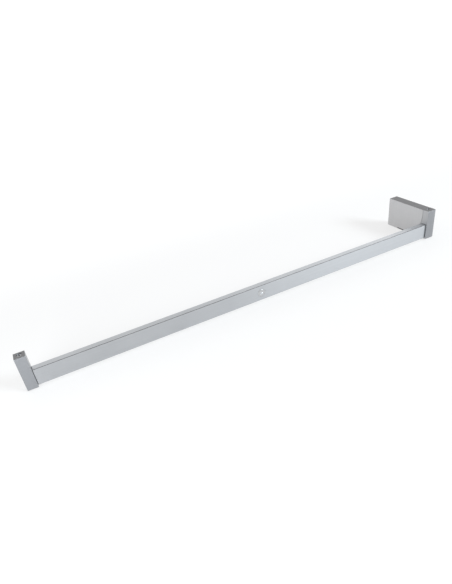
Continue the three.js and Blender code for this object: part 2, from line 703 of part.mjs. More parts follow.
// The pinion's outline in x and z, with a tooth pointing along +X.
function pinionOutline() {
  const flank = [PINION_ROOT, PITCH_RADIUS * Math.cos(PRESSURE_ANGLE), PITCH_RADIUS, PINION_TIP];
  const points = [];
  const addPoint = (radius, angle) => {
    points.push(new THREE.Vector2(radius * Math.cos(angle), radius * Math.sin(angle)));
  };
  for (let tooth = 0; tooth < PINION_TEETH; tooth += 1) {
    const middle = (tooth / PINION_TEETH) * 2 * Math.PI;
    flank.forEach((radius) => addPoint(radius, middle - toothHalfAngle(radius)));
    [...flank].reverse().forEach((radius) => addPoint(radius, middle + toothHalfAngle(radius)));
  }
  return new THREE.Shape(points);
}

// The nose of the hub, which the pinion sits on: round with one flat.
function hubNose(gap, y0, y1) {
  const radius = HUB_NOSE_RADIUS + gap;
  return cut(
    rodAlongY(radius, y0, y1, 0, 0),
    block(-radius, radius, y0 - OVER, y1 + OVER, HUB_NOSE_FLAT + gap, HUB_NOSE_FLAT + REACH),
  );
}

function drivePinion() {
  const boss = rodAlongY(PINION_BOSS_RADIUS, GEAR_BACK - OVER, GUIDE_BACK - FACE_GAP, 0, 0);
  const teeth = profileAlongY(pinionOutline(), GEAR_FRONT, GEAR_BACK);
  return cut(join(teeth, boss), hubNose(FACE_GAP, GEAR_FRONT - OVER, GUIDE_BACK + OVER));
}

// The hub is turned about Y, and its axis passes through the origin.
function spindleHub() {
  const body = join(
    rodAlongY(HUB_RADIUS, HUB_FRONT, HUB_REAR, 0, 0),
    rodAlongY(HUB_SHAFT_RADIUS, HUB_NOSE_FROM, HUB_FRONT + OVER, 0, 0),
    hubNose(0, HUB_NOSE_TO, HUB_NOSE_FROM + OVER),
  );
  const half = HUB_SQUARE / 2;
  const grooveRing = cut(
    rodAlongY(HUB_RADIUS, CIRCLIP_FRONT, CIRCLIP_FRONT + CIRCLIP_THICKNESS + CIRCLIP_SLACK, 0, 0),
    rodAlongY(CIRCLIP_GROOVE, CIRCLIP_FRONT - OVER, CIRCLIP_FRONT + CIRCLIP_THICKNESS + OVER, 0, 0),
  );
  return cut(body, block(-half, half, HUB_REAR - HUB_SOCKET_DEPTH, OVER, -half, half), grooveRing);
}

function hubCirclip() {
  const front = CIRCLIP_FRONT + FACE_GAP;
  const back = CIRCLIP_FRONT + CIRCLIP_THICKNESS;
  return cut(
    rodAlongY(CIRCLIP_RADIUS, front, back, 0, 0),
    rodAlongY(CIRCLIP_GROOVE + CIRCLIP_SLACK, front - OVER, back + OVER, 0, 0),
    block(-CIRCLIP_OPENING / 2, CIRCLIP_OPENING / 2, front - OVER, back + OVER, 0, CIRCLIP_RADIUS + OVER),
  );
}

function hubBush() {
  return cut(
    rodAlongY(HUB_BUSH_RADIUS, -HUB_BUSH_LENGTH, -COVER_REAR_GAP, 0, 0),
    rodAlongY(bearing(HUB_RADIUS), -HUB_BUSH_LENGTH - OVER, OVER, 0, 0),
  );
}

// The rack's outline in x and z. The space at the height of the pinion's axis takes its first tooth.
function rackOutline() {
  const pitch = Math.PI * GEAR_MODULE;
  const slope = Math.tan(PRESSURE_ANGLE);
  const halfAt = (x) => pitch / 2 - TOOTH_HALF + (x - PITCH_RADIUS) * -slope;
  const points = [new THREE.Vector2(RACK_BACK, RACK_BOTTOM), new THREE.Vector2(RACK_TIP, RACK_BOTTOM)];
  for (let space = -RACK_SPACES_BELOW; space <= RACK_SPACES_ABOVE; space += 1) {
    const middle = HUB_Z + space * pitch;
    points.push(new THREE.Vector2(RACK_TIP, middle - halfAt(RACK_TIP)));
    points.push(new THREE.Vector2(RACK_ROOT, middle - halfAt(RACK_ROOT)));
    points.push(new THREE.Vector2(RACK_ROOT, middle + halfAt(RACK_ROOT)));
    points.push(new THREE.Vector2(RACK_TIP, middle + halfAt(RACK_TIP)));
  }
  points.push(new THREE.Vector2(RACK_TIP, HEAD_BOTTOM + OVER));
  points.push(new THREE.Vector2(RACK_BACK, HEAD_BOTTOM + OVER));
  return new THREE.Shape(points.reverse());
}

function rackSlider() {
  const fork = ROLLER_LENGTH / 2 + TRUE_GAP;
  const back = GEAR_BACK - TRUE_GAP;
  const front = GEAR_FRONT + TRUE_GAP;
  const y0 = ROLLER_Y - FORK_DEPTH / 2;
  const y1 = ROLLER_Y + FORK_DEPTH / 2;
  const body = join(
    profileAlongY(rackOutline(), front, back),
    block(-HEAD_HALF_WIDTH, HEAD_HALF_WIDTH, HEAD_FRONT, back, HEAD_BOTTOM, HEAD_TOP),
    block(-fork - FORK_CHEEK, -fork, y0, y1, HEAD_TOP - OVER, FORK_TOP),
    block(fork, fork + FORK_CHEEK, y0, y1, HEAD_TOP - OVER, FORK_TOP),
  );
  return cut(
    body,
    rodAlongX(ROLLER_PIN_RADIUS + FACE_GAP, -REACH, REACH, ROLLER_Y, ROLLER_Z),
    rodAlongX(ROLLER_RADIUS + TRUE_GAP, -fork, fork, ROLLER_Y, ROLLER_Z),
  );
}

function rackRoller() {
  const half = ROLLER_LENGTH / 2;
  return cut(
    rodAlongX(ROLLER_RADIUS, -half, half, 0, 0),
    rodAlongX(bearing(ROLLER_PIN_RADIUS), -half - OVER, half + OVER, 0, 0),
  );
}

function rollerPin() {
  const half = ROLLER_LENGTH / 2 + TRUE_GAP + FORK_CHEEK;
  return rodAlongX(ROLLER_PIN_RADIUS, -half, half, 0, 0);
}

function rackGuide() {
  const wide = GUIDE_HALF_WIDTH;
  const front = GUIDE_FRONT - OVER;
  const back = GUIDE_BACK + OVER;
  const pinionRoom = PINION_TIP + GUIDE_PINION_CLEARANCE;
  const springRoom = SPRING_MEAN_RADIUS + SPRING_WIRE_RADIUS + GUIDE_SPRING_CLEARANCE;
  const channel = {
    x0: RACK_TIP - TRUE_GAP,
    x1: RACK_BACK + CHANNEL_SLACK,
    y0: GEAR_FRONT - GUIDE_RACK_CLEARANCE,
    y1: GEAR_BACK + GUIDE_RACK_CLEARANCE,
    z0: RACK_BOTTOM - RACK_TRAVEL - OVER,
  };
  const headSeat = GUIDE_SCREW_HEAD + GUIDE_SCREW.headHeight + FACE_GAP;
  const screwCuts = [-GUIDE_SCREW_X, GUIDE_SCREW_X].flatMap((x) => [
    rodAlongY(GUIDE_SCREW.radius + TRUE_GAP, front, back, x, GUIDE_SCREW_Z),
    rodAlongY(GUIDE_SCREW.head + TRUE_GAP, front, headSeat, x, GUIDE_SCREW_Z),
  ]);
  return cut(
    block(-wide, wide, GUIDE_FRONT, GUIDE_BACK, GUIDE_BOTTOM, GUIDE_TOP),
    rodAlongY(pinionRoom, GEAR_FRONT - GUIDE_PINION_FRONT, back, 0, HUB_Z),
    block(channel.x0, channel.x1, channel.y0, channel.y1, channel.z0, 0),
    rodAlongZ(springRoom, SPRING_BOTTOM - FACE_GAP, 0, 0, SPRING_Y),
    bottomCoverScrewBore(),
    ...screwCuts,
  );
}

class Helix extends THREE.Curve {
  getPoint(t, target = new THREE.Vector3()) {
    const angle = t * SPRING_TURNS * 2 * Math.PI;
    const low = SPRING_BOTTOM + SPRING_WIRE_RADIUS;
    const high = SPRING_TOP - SPRING_WIRE_RADIUS;
    const x = SPRING_MEAN_RADIUS * Math.cos(angle);
    const y = SPRING_MEAN_RADIUS * Math.sin(angle);
    return target.set(x, y, low + t * (high - low));
  }
}

function returnSpring() {
  const wire = new THREE.Shape();
  wire.absarc(0, 0, SPRING_WIRE_RADIUS, 0, 2 * Math.PI, false);
  return new THREE.ExtrudeGeometry(wire, {
    steps: SPRING_TURNS * SPRING_STEPS,
    curveSegments: 3,
    extrudePath: new Helix(),
  });
}

// ---------------------------------------------------------------- assembly

function at(mesh, x, y, z) {
  mesh.position.set(x, y, z);
  return mesh;
}

// A countersunk screw that enters the housing from below.
function screwFromBelow(name, length, y, z) {
  const screw = part(name, countersunkScrew(SMALL_SCREW, length), darkSteel());
  screw.rotation.x = -Math.PI / 2;
  return at(screw, 0, y, z);
}

function makeHousing() {
  const group = new THREE.Group();
  const recess = 0.1; // of a screw's head behind the face that it enters
  const coverScrewZ = -COVER_TOP + recess;
  const bottomScrewZ = -COVER_TOP + BOTTOM_COVER_INSET + recess;
  const guideScrew = capScrew(GUIDE_SCREW);
  group.add(
    part("frame", frame(), castZinc()),
    part("housing_cover", housingCover(), satinAluminium()),
    part("bottom_cover", bottomCover(), blackPlastic()),
    screwFromBelow("cover_screw", COVER_SCREW_LENGTH - SCREW_TO_BORE_END, COVER_SCREW_Y, coverScrewZ),
    screwFromBelow(
      "bottom_cover_screw",
      BOTTOM_COVER_SCREW_LENGTH - SCREW_TO_BORE_END,
      BOTTOM_COVER_SCREW_Y,
      bottomScrewZ,
    ),
    at(part("axle", axle(), steel()), 0, AXLE_Y, AXLE_Z),
    at(part("hub_bush", hubBush(), whitePlastic()), 0, 0, HUB_Z),
    part("rack_guide", rackGuide(), blackPlastic()),
    at(part("guide_screw_left", guideScrew, darkSteel()), -GUIDE_SCREW_X, GUIDE_SCREW_HEAD, GUIDE_SCREW_Z),
    at(part("guide_screw_right", guideScrew, darkSteel()), GUIDE_SCREW_X, GUIDE_SCREW_HEAD, GUIDE_SCREW_Z),
    at(part("return_spring", returnSpring(), steel()), 0, SPRING_Y, 0),
    part("rest_buffer", restBuffer(), rubber()),
    part("push_buffer", pushBuffer(), rubber()),
  );
  return group;
}

// One end of the bar: its spigot, gasket, clamp screw and spigot screw.
function makeBarEnd(side, { spigotX, gapX, clampX, screwX }) {
  const group = new THREE.Group();
  const clampLength = ARM_TOP - CLAMP_RECESS - CLAMP_END - CLAMP_TIP_GAP;
  const clamp = part(`clamp_screw_${side}`, countersunkScrew(CLAMP_SCREW, clampLength), darkSteel());
  clamp.rotation.x = Math.PI / 2;
  const screwRecess = 0.15;
  const screwShape = countersunkScrew(SPIGOT_SCREW, SPIGOT_SCREW_LENGTH - SCREW_TO_BORE_END);
  group.add(
    part(`spigot_${side}`, spigot(spigotX[0], spigotX[1], clampX, screwX), steel()),
    part(`end_gasket_${side}`, endGasket(gapX[0], gapX[1]), blackPlastic()),
    at(clamp, clampX, CLAMP_Y, ARM_TOP - CLAMP_RECESS),
    at(part(`spigot_screw_${side}`, screwShape, darkSteel()), screwX, BAR_BACK - screwRecess, BAR_MIDDLE_Z),
  );
  return group;
}

function makePushBar() {
  const group = new THREE.Group();
  const bushLeft = at(part("axle_bush_left", axleBush(), brass()), 0, AXLE_Y, AXLE_Z);
  bushLeft.rotation.z = Math.PI;
  const plug = part("centre_plug", centrePlug(), satinAluminium());
  group.add(
    part("right_arm", rightArm(), satinAluminium()),
    part("left_arm", leftArm(), satinAluminium()),
    part("bar_body", barBody(), satinAluminium()),
    part("bar_face", barFace(), satinAluminium()),
    at(plug, BAR_MIDDLE_X, BAR_FRONT - PLUG_PROUD, BAR_MIDDLE_Z),
    bushLeft,
    at(part("axle_bush_right", axleBush(), brass()), 0, AXLE_Y, AXLE_Z),
    makeBarEnd("left", {
      spigotX: [LEFT_ARM_INNER - SPIGOT_IN_ARM, BAR_LEFT + SPIGOT_IN_BAR],
      gapX: [LEFT_ARM_INNER, BAR_LEFT],
      clampX: LEFT_ARM_MIDDLE,
      screwX: SPIGOT_SCREWS_X.left,
    }),
    makeBarEnd("right", {
      spigotX: [BAR_RIGHT - SPIGOT_IN_BAR, RIGHT_ARM_INNER + SPIGOT_IN_ARM],
      gapX: [BAR_RIGHT, RIGHT_ARM_INNER],
      clampX: 0,
      screwX: SPIGOT_SCREWS_X.right,
    }),
  );
  return group;
}

function makeRack() {
  const group = new THREE.Group();
  group.add(
    part("rack_slider", rackSlider(), steel()),
    at(part("rack_roller", rackRoller(), steel()), 0, ROLLER_Y, ROLLER_Z),
    at(part("roller_pin", rollerPin(), darkSteel()), 0, ROLLER_Y, ROLLER_Z),
  );
  return group;
}

function makeSpindle() {
  const group = new THREE.Group();
  group.position.z = HUB_Z;
  group.add(
    part("spindle_hub", spindleHub(), steel()),
    part("drive_pinion", drivePinion(), steel()),
    part("hub_circlip", hubCirclip(), darkSteel()),
  );
  return group;
}

const panicExitBar = new THREE.Group();
panicExitBar.add(makeHousing(), makePushBar(), makeRack(), makeSpindle());

export default panicExitBar;
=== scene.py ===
"""The looks of the panic exit bar: detailed pieces, finishes, floor, lights and camera.

Pieces are modelled in millimetres, in the frame's own axes, and turned into metres when they are finished.
+X runs along the bar to the right, +Y towards the door, +Z up.
"""

import json
import math

import bmesh
import bpy
from mathutils import Matrix, Quaternion, Vector

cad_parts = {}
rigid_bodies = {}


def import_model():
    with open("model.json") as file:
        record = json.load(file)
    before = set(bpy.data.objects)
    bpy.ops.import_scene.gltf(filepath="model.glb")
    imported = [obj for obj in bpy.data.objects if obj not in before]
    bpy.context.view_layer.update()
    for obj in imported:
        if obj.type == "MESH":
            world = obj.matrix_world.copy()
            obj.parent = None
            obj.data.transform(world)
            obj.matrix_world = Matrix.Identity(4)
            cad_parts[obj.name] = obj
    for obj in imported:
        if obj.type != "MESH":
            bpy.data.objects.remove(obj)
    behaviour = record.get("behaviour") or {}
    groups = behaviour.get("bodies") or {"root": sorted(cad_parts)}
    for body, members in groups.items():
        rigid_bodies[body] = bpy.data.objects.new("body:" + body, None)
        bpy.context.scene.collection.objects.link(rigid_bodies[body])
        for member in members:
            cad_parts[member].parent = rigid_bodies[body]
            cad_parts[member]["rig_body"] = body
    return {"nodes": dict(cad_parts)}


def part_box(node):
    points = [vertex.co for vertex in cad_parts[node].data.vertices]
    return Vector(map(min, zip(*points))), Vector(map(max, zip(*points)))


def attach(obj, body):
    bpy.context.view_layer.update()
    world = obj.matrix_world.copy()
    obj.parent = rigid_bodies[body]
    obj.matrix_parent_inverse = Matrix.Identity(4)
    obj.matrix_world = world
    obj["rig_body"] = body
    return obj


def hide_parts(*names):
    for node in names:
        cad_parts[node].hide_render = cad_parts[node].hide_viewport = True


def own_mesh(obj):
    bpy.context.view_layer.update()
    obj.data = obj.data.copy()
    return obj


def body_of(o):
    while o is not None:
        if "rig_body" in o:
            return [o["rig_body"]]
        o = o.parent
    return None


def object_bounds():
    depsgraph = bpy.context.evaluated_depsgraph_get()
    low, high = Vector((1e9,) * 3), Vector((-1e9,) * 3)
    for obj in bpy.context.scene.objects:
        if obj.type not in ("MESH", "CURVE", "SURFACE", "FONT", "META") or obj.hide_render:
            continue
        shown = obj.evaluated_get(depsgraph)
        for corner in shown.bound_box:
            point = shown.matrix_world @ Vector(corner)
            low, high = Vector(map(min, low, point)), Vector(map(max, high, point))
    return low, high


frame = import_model()
cad_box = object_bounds()

MM = 0.001  # one millimetre in metres
ROUND = 64  # steps round a turned piece
WEAR = "edge_wear"  # the attribute that is 1 on rounded edges
SHARP = math.radians(32)  # an edge that bends more than this is sharp
NEAR = 0.01  # an edge this close to a face lies on it
OVER = 1.0  # how far a cutting tool reaches past the face that it cuts
REACH = 200  # longer than any cut needs
GAP = 0.3  # between a piece and the pocket that it sits in
TINY = 1e-6  # shorter than any real length
WELD_DISTANCE = 1e-4  # points closer than this are one point
ALONG = 0.99  # least share of an edge's length along an axis that it runs along
FACING = 0.9  # least cosine between a face's normal and the way that it looks
UP = Vector((0, 0, 1))
DOWN = Vector((0, 0, -1))
RIGHT = Vector((1, 0, 0))
LEFT = Vector((-1, 0, 0))
FRONT = Vector((0, -1, 0))


# ---------------------------------------------------------------- outlines and solids, in millimetres


def box(node):
    """The lowest and highest corners of a CAD node."""
    low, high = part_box(node)
    return low / MM, high / MM


def place(axis, along, a, b):
    """A point from its place along an axis and its other two coordinates."""
    return Vector({"X": (along, a, b), "Y": (a, along, b), "Z": (a, b, along)}[axis])


def rectangle(a0, b0, a1, b1):
    return [(a0, b0), (a1, b0), (a1, b1), (a0, b1)]


def circle(radius, a=0.0, b=0.0, steps=ROUND):
    turns = [2 * math.pi * i / steps for i in range(steps)]
    return [(a + radius * math.cos(t), b + radius * math.sin(t)) for t in turns]


def arc(centre, radius, start, end, steps):
    """Points on an arc, both ends included. Angles are in radians."""
    turns = [start + (end - start) * i / steps for i in range(steps + 1)]
    return [(centre[0] + radius * math.cos(t), centre[1] + radius * math.sin(t)) for t in turns]


def hexagon(across, a=0.0, b=0.0):
    return circle(across / math.sqrt(3), a, b, 6)


NEARLY_STRAIGHT = math.radians(85)  # half the angle of a corner that isn't rounded
CORNER_SHARE = 0.45  # the most that a rounded corner takes of the sides beside it


def rounded(points, radius, steps=4):
    """An open profile whose inner corners are rounded."""
    made = [points[0]]
    for before, corner, after in zip(points, points[1:], points[2:]):
        to_before = Vector(before) - Vector(corner)
        to_after = Vector(after) - Vector(corner)
        half = to_before.angle(to_after) / 2
        if half > NEARLY_STRAIGHT:
            made.append(corner)
            continue
        most = CORNER_SHARE * min(to_before.length, to_after.length)
        reach = min(radius / math.tan(half), most)
        start = Vector(corner) + to_before.normalized() * reach
        end = Vector(corner) + to_after.normalized() * reach
        for i in range(steps + 1):
            t = i / steps
            bend = start * (1 - t) ** 2 + Vector(corner) * 2 * t * (1 - t) + end * t**2
            made.append(tuple(bend))
    made.append(points[-1])
    return made


def wear_layer(bm):
    return bm.faces.layers.float.get(WEAR) or bm.faces.layers.float.new(WEAR)


def new_solid():
    bm = bmesh.new()
    wear_layer(bm)
    return bm


def prism(outline, axis, start, end):
    """An outline in the two other coordinates, extruded along an axis."""
    bm = new_solid()
    rings = [[bm.verts.new(place(axis, along, a, b)) for a, b in outline] for along in (start, end)]
    bm.faces.new(rings[0])
    bm.faces.new(list(reversed(rings[1])))
    for i in range(len(outline)):
        j = (i + 1) % len(outline)
        bm.faces.new((rings[0][i], rings[0][j], rings[1][j], rings[1][i]))
    bmesh.ops.recalc_face_normals(bm, faces=bm.faces)
    return bm


def block(low, high):
    return prism(rectangle(low[0], low[1], high[0], high[1]), "Z", low[2], high[2])


def rod(axis, radius, start, end, a, b, steps=ROUND):
    return prism(circle(radius, a, b, steps), axis, start, end)


def lathe(profile, axis, centre, steps=ROUND):
    """A profile of (radius, place along the axis), turned round an axis through centre.
    It starts and ends on the axis, or closes on itself."""
    bm = new_solid()
    rings = []
    for radius, along in profile:
        if radius < TINY:
            rings.append([bm.verts.new(place(axis, along, 0, 0) + Vector(centre))] * steps)
            continue
        points = [place(axis, along, a, b) + Vector(centre) for a, b in circle(radius, steps=steps)]
        rings.append([bm.verts.new(point) for point in points])
    if profile[0][0] > TINY:
        rings.append(rings[0])
    for ring, following in zip(rings, rings[1:]):
        for i in range(steps):
            j = (i + 1) % steps
            corners = list(dict.fromkeys((ring[i], ring[j], following[j], following[i])))
            if len(corners) > 2:
                bm.faces.new(corners)
    bmesh.ops.recalc_face_normals(bm, faces=bm.faces)
    return bm


def round_edges(bm, radius, segments=3, pick=lambda edge: True):
    """Rounds the sharp edges that pick accepts, and marks the new faces as worn."""
    wear = wear_layer(bm)
    sharp = [e for e in bm.edges if len(e.link_faces) == 2 and e.calc_face_angle() > SHARP and pick(e)]
    made = bmesh.ops.bevel(
        bm,
        geom=sharp,
        offset=radius,
        offset_type="OFFSET",
        segments=segments,
        profile=0.5,
        affect="EDGES",
        clamp_overlap=False,
    )
    for face in made["faces"]:
        face[wear] = 1.0
    return bm


def along(axis):
    """Picks the edges that run along an axis."""
    index = "XYZ".index(axis)

    def test(edge):
        run = edge.verts[1].co - edge.verts[0].co
        return abs(run[index]) > ALONG * run.length

    return test


def as_object(name, bm):
    mesh = bpy.data.meshes.new(name)
    bm.to_mesh(mesh)
    bm.free()
    made = bpy.data.objects.new(name, mesh)
    bpy.context.scene.collection.objects.link(made)
    return made


def combine(bm, operation, others):
    """Joins other solids to a solid, or cuts them from it. They are used up."""
    base = as_object("base", bm)
    tools = [as_object("tool", other) for other in others]
    for tool in tools:
        modifier = base.modifiers.new("combine", "BOOLEAN")
        modifier.operation = operation
        modifier.solver = "EXACT"
        modifier.object = tool
    evaluated = base.evaluated_get(bpy.context.evaluated_depsgraph_get())
    made = bmesh.new()
    made.from_mesh(evaluated.to_mesh())
    wear_layer(made)
    evaluated.to_mesh_clear()
    for used in [base, *tools]:
        mesh = used.data
        bpy.data.objects.remove(used)
        bpy.data.meshes.remove(mesh)
    bmesh.ops.remove_doubles(made, verts=made.verts, dist=WELD_DISTANCE)
    bmesh.ops.dissolve_degenerate(made, dist=WELD_DISTANCE, edges=made.edges)
    return made


def carve(bm, *tools):
    return combine(bm, "DIFFERENCE", tools)


def weld(bm, *others):
    return combine(bm, "UNION", others)


def turn(bm, angle, axis, centre=(0, 0, 0)):
    bmesh.ops.rotate(bm, verts=bm.verts, cent=centre, matrix=Matrix.Rotation(angle, 3, axis))
    return bm


def move(bm, offset):
    bmesh.ops.translate(bm, verts=bm.verts, vec=offset)
    return bm


def finish_piece(node, bm, finish, others=()):
    """Makes the piece that stands for a CAD node. others holds finishes for the faces that look certain
    ways, as pairs of a finish and its directions. These finishes are lighter or darker than the main one,
    and paint light and shade by the way a face looks."""
    body = body_of(frame["nodes"][node])[0]
    bm.normal_update()
    for face in bm.faces:
        for index, (_, ways) in enumerate(others, 1):
            if any(face.normal.dot(way) > FACING for way in ways):
                face.material_index = index
    bmesh.ops.scale(bm, verts=bm.verts, vec=(MM, MM, MM))
    made = as_object(node + "_detailed", bm)
    for material in (finish, *(other for other, _ in others)):
        made.data.materials.append(material)
    made.data.shade_smooth()
    made.data.set_sharp_from_angle(angle=SHARP)
    normals = made.modifiers.new("weighted_normals", "WEIGHTED_NORMAL")
    normals.keep_sharp = True
    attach(made, body)
    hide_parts(node)
    return made


# ---------------------------------------------------------------- finishes


def add(tree, kind, inputs=None, **settings):
    """Adds a shader node. An input is a value, or another node's output."""
    made = tree.nodes.new("ShaderNode" + kind)
    for name, value in settings.items():
        setattr(made, name, value)
    for name, value in (inputs or {}).items():
        if isinstance(value, bpy.types.NodeSocket):
            tree.links.new(value, made.inputs[name])
        else:
            made.inputs[name].default_value = value
    return made


def noise(tree, scale, detail=2.0, roughness=0.5):
    """Noise that averages 0 and stays within about 0.5 either way.
    scale is in cycles per metre along X, Y and Z."""
    coordinates = add(tree, "TexCoord").outputs["Object"]
    mapping = add(tree, "Mapping", {"Vector": coordinates, "Scale": scale})
    inputs = {"Vector": mapping.outputs["Vector"], "Scale": 1.0, "Detail": detail, "Roughness": roughness}
    texture = add(tree, "TexNoise", inputs)
    return add(tree, "Math", {0: texture.outputs["Fac"], 1: 0.5}, operation="SUBTRACT").outputs[0]


def weighted(tree, start, parts):
    """start plus each value times its weight."""
    total = start
    for value, weight in parts:
        total = add(tree, "Math", {0: value, 1: weight, 2: total}, operation="MULTIPLY_ADD").outputs[0]
    return total


def ramp(tree, value, dark, light):
    made = add(tree, "ValToRGB", {"Fac": value})
    made.color_ramp.elements[0].color = (*dark, 1)
    made.color_ramp.elements[1].color = (*light, 1)
    return made.outputs["Color"]


def surface(name, dark, light, roughness, variation, relief, relief_depth, shader):
    """A finish. variation moves its colour from dark to light, and its roughness the other way.
    relief is its height, in shares of relief_depth (metres).
    shader holds values for the shader's own sockets."""
    material = bpy.data.materials.new(name)
    material.use_nodes = True
    tree = material.node_tree
    principled = tree.nodes["Principled BSDF"]
    value = weighted(tree, 0.5, variation(tree))
    tree.links.new(ramp(tree, value, dark, light), principled.inputs["Base Color"])
    smooth, rough = roughness
    inputs = {"Value": value, "From Min": 0.0, "From Max": 1.0, "To Min": rough, "To Max": smooth}
    varied = add(tree, "MapRange", inputs)
    tree.links.new(varied.outputs["Result"], principled.inputs["Roughness"])
    height = weighted(tree, 0.0, relief(tree))
    bump = add(tree, "Bump", {"Height": height, "Distance": relief_depth, "Strength": 1.0})
    tree.links.new(bump.outputs["Normal"], principled.inputs["Normal"])
    for socket, number in shader.items():
        principled.inputs[socket].default_value = number
    return material, tree, principled


def brushing(axis, across, run):
    """Noise scales for brush lines: across is in lines per metre, run in changes per metre along a line."""
    return tuple(run if letter == axis else across for letter in "XYZ")


def even(scale):
    """Noise scales that are the same along all three axes."""
    return (scale, scale, scale)


BRUSH_DEPTH = 4e-6  # metres


def brushed_metal(name, dark, light, roughness, axis, anisotropic):
    """Metal with brush lines along an axis, cloudy handling marks and duller edges."""
    def variation(tree):
        worn = add(tree, "Attribute", attribute_name=WEAR).outputs["Fac"]
        return [
            (noise(tree, brushing(axis, 900, 9)), 0.25),
            (noise(tree, brushing(axis, 260, 3)), 0.225),
            (noise(tree, even(11), 3.0), 0.45),
            (noise(tree, even(45), 2.0), 0.175),
            (worn, -0.3),
        ]

    def relief(tree):
        return [(noise(tree, brushing(axis, 1500, 12)), 1.0), (noise(tree, even(320), 3.0), 0.25)]

    shader = {"Metallic": 1.0, "Anisotropic": anisotropic}
    made = surface(name, dark, light, roughness, variation, relief, BRUSH_DEPTH, shader)
    material, tree, principled = made
    tangent = add(tree, "Tangent", direction_type="RADIAL", axis=axis)
    tree.links.new(tangent.outputs["Tangent"], principled.inputs["Tangent"])
    return material


def blasted_metal(name, dark, light, roughness, grain=1400, relief_depth=8e-6):
    """Metal with an even fine grain, such as a blasted, milled or cast face."""
    def variation(tree):
        worn = add(tree, "Attribute", attribute_name=WEAR).outputs["Fac"]
        return [
            (noise(tree, even(grain), 2.0), 0.25),
            (noise(tree, even(180), 3.0), 0.2),
            (noise(tree, even(14), 3.0), 0.45),
            (worn, -0.2),
        ]

    def relief(tree):
        return [(noise(tree, even(grain), 2.0), 1.0), (noise(tree, even(260), 2.0), 0.8)]

    return surface(name, dark, light, roughness, variation, relief, relief_depth, {"Metallic": 1.0})[0]


def moulded(name, dark, light, roughness, relief_depth=1.2e-5, grain=900):
    """Moulded plastic or rubber with a fine spark-eroded grain and scuffed edges."""
    def variation(tree):
        worn = add(tree, "Attribute", attribute_name=WEAR).outputs["Fac"]
        return [
            (noise(tree, even(grain), 2.0), 0.35),
            (noise(tree, even(60), 3.0), 0.5),
            (worn, 0.35),
        ]

    def relief(tree):
        return [(noise(tree, even(grain), 2.0), 1.0), (noise(tree, even(150), 2.0), 0.5)]

    return surface(name, dark, light, roughness, variation, relief, relief_depth, {"Metallic": 0.0})[0]


# Each finish goes from its dark, rough state to its light, smooth one.
BAR = brushed_metal(
    "satin_aluminium_bar", (0.455, 0.47, 0.487), (0.587, 0.602, 0.624), (0.28, 0.4), "X", 0.8
)
CASTING = brushed_metal(
    "satin_aluminium_arms", (0.308, 0.319, 0.337), (0.407, 0.419, 0.44), (0.31, 0.43), "Z", 0.2
)
COVER = brushed_metal(
    "satin_aluminium_cover", (0.466, 0.466, 0.474), (0.593, 0.593, 0.6), (0.34, 0.46), "Z", 0.2
)
# A lighter copy of the arms' aluminium for the faces that look left or right: painted light by facing.
LIT_SIDES = brushed_metal(
    "satin_aluminium_lit_sides", (0.4, 0.405, 0.415), (0.515, 0.52, 0.535), (0.33, 0.45), "Z", 0.2
)
# Darker than the satin finishes: besides a milled grain, it paints shade on the faces that look up or down.
MILLED_AND_SHADED = blasted_metal("milled_aluminium_painted_shade", (0.152, 0.152, 0.157), (0.26, 0.26, 0.265), (0.42, 0.6))
POLISHED = blasted_metal(
    "polished_aluminium", (0.5, 0.51, 0.52), (0.62, 0.63, 0.64), (0.26, 0.38), grain=2400, relief_depth=1e-6
)
PLATED = blasted_metal(
    "plated_steel", (0.24, 0.24, 0.245), (0.36, 0.36, 0.365), (0.3, 0.45), grain=1800, relief_depth=3e-6
)
STEEL = blasted_metal(
    "ground_steel", (0.4, 0.41, 0.42), (0.62, 0.63, 0.64), (0.22, 0.38), grain=2200, relief_depth=3e-6
)
DARK_STEEL = blasted_metal(
    "blackened_steel", (0.12, 0.12, 0.125), (0.34, 0.34, 0.35), (0.28, 0.45), grain=1800
)
ZINC = blasted_metal(
    "cast_zinc", (0.28, 0.285, 0.29), (0.5, 0.505, 0.51), (0.42, 0.62), grain=700, relief_depth=3e-5
)
BRASS = blasted_metal(
    "turned_brass", (0.48, 0.33, 0.12), (0.78, 0.58, 0.27), (0.25, 0.42), grain=2000, relief_depth=3e-6
)
BLACK = moulded("black_moulding", (0.008, 0.008, 0.009), (0.045, 0.045, 0.048), (0.42, 0.6))
WHITE = moulded("white_acetal", (0.55, 0.54, 0.5), (0.78, 0.77, 0.73), (0.35, 0.5))
RUBBER = moulded("black_rubber", (0.006, 0.006, 0.006), (0.03, 0.03, 0.03), (0.65, 0.85), relief_depth=3e-5)


# ---------------------------------------------------------------- screws

THREAD_DEPTH = 0.28
THREAD_PITCH = 0.8
THREAD_STARTS = 0.5  # from the tip
THREAD_RUNOUT = 1.2  # from the cone of the head
SHANK = 0.9  # the smooth shank below the cone starts here
TIP_CHAMFER = 0.6
HEAD_RIM = 0.3  # the straight rim of a countersunk head
RIM_ROUNDING = 0.12
RIM_FLAT = 1  # how far the flat of a head is drawn before its rounded rim
HEAD_SINK = 0.5  # the straight mouth of a countersunk bore
HEAD_GAP = 0.15
SOCKET_CHAMFER = 0.35
SOCKET_SHARE = 0.9  # a socket's depth in shares of its head's cone

# Radii of thread and head, and socket across the flats.
CLAMP_SCREW = (2.5, 5.0, 3.0)
SPIGOT_SCREW = (2.0, 4.0, 2.5)
SMALL_SCREW = (1.5, 3.0, 2.0)

# How deep their bores go.
SMALL_BORE = 6
SPIGOT_BORE = 7
CLAMP_BORE = 40


def threaded(radius, start, end):
    """A thread's profile from start to end, as rings."""
    turns = max(1, int(abs(end - start) / THREAD_PITCH))
    step = (end - start) / turns
    points = []
    for i in range(turns):
        points.append((radius - THREAD_DEPTH, start + step * i))
        points.append((radius, start + step * (i + 0.5)))
    points.append((radius - THREAD_DEPTH, end))
    return points


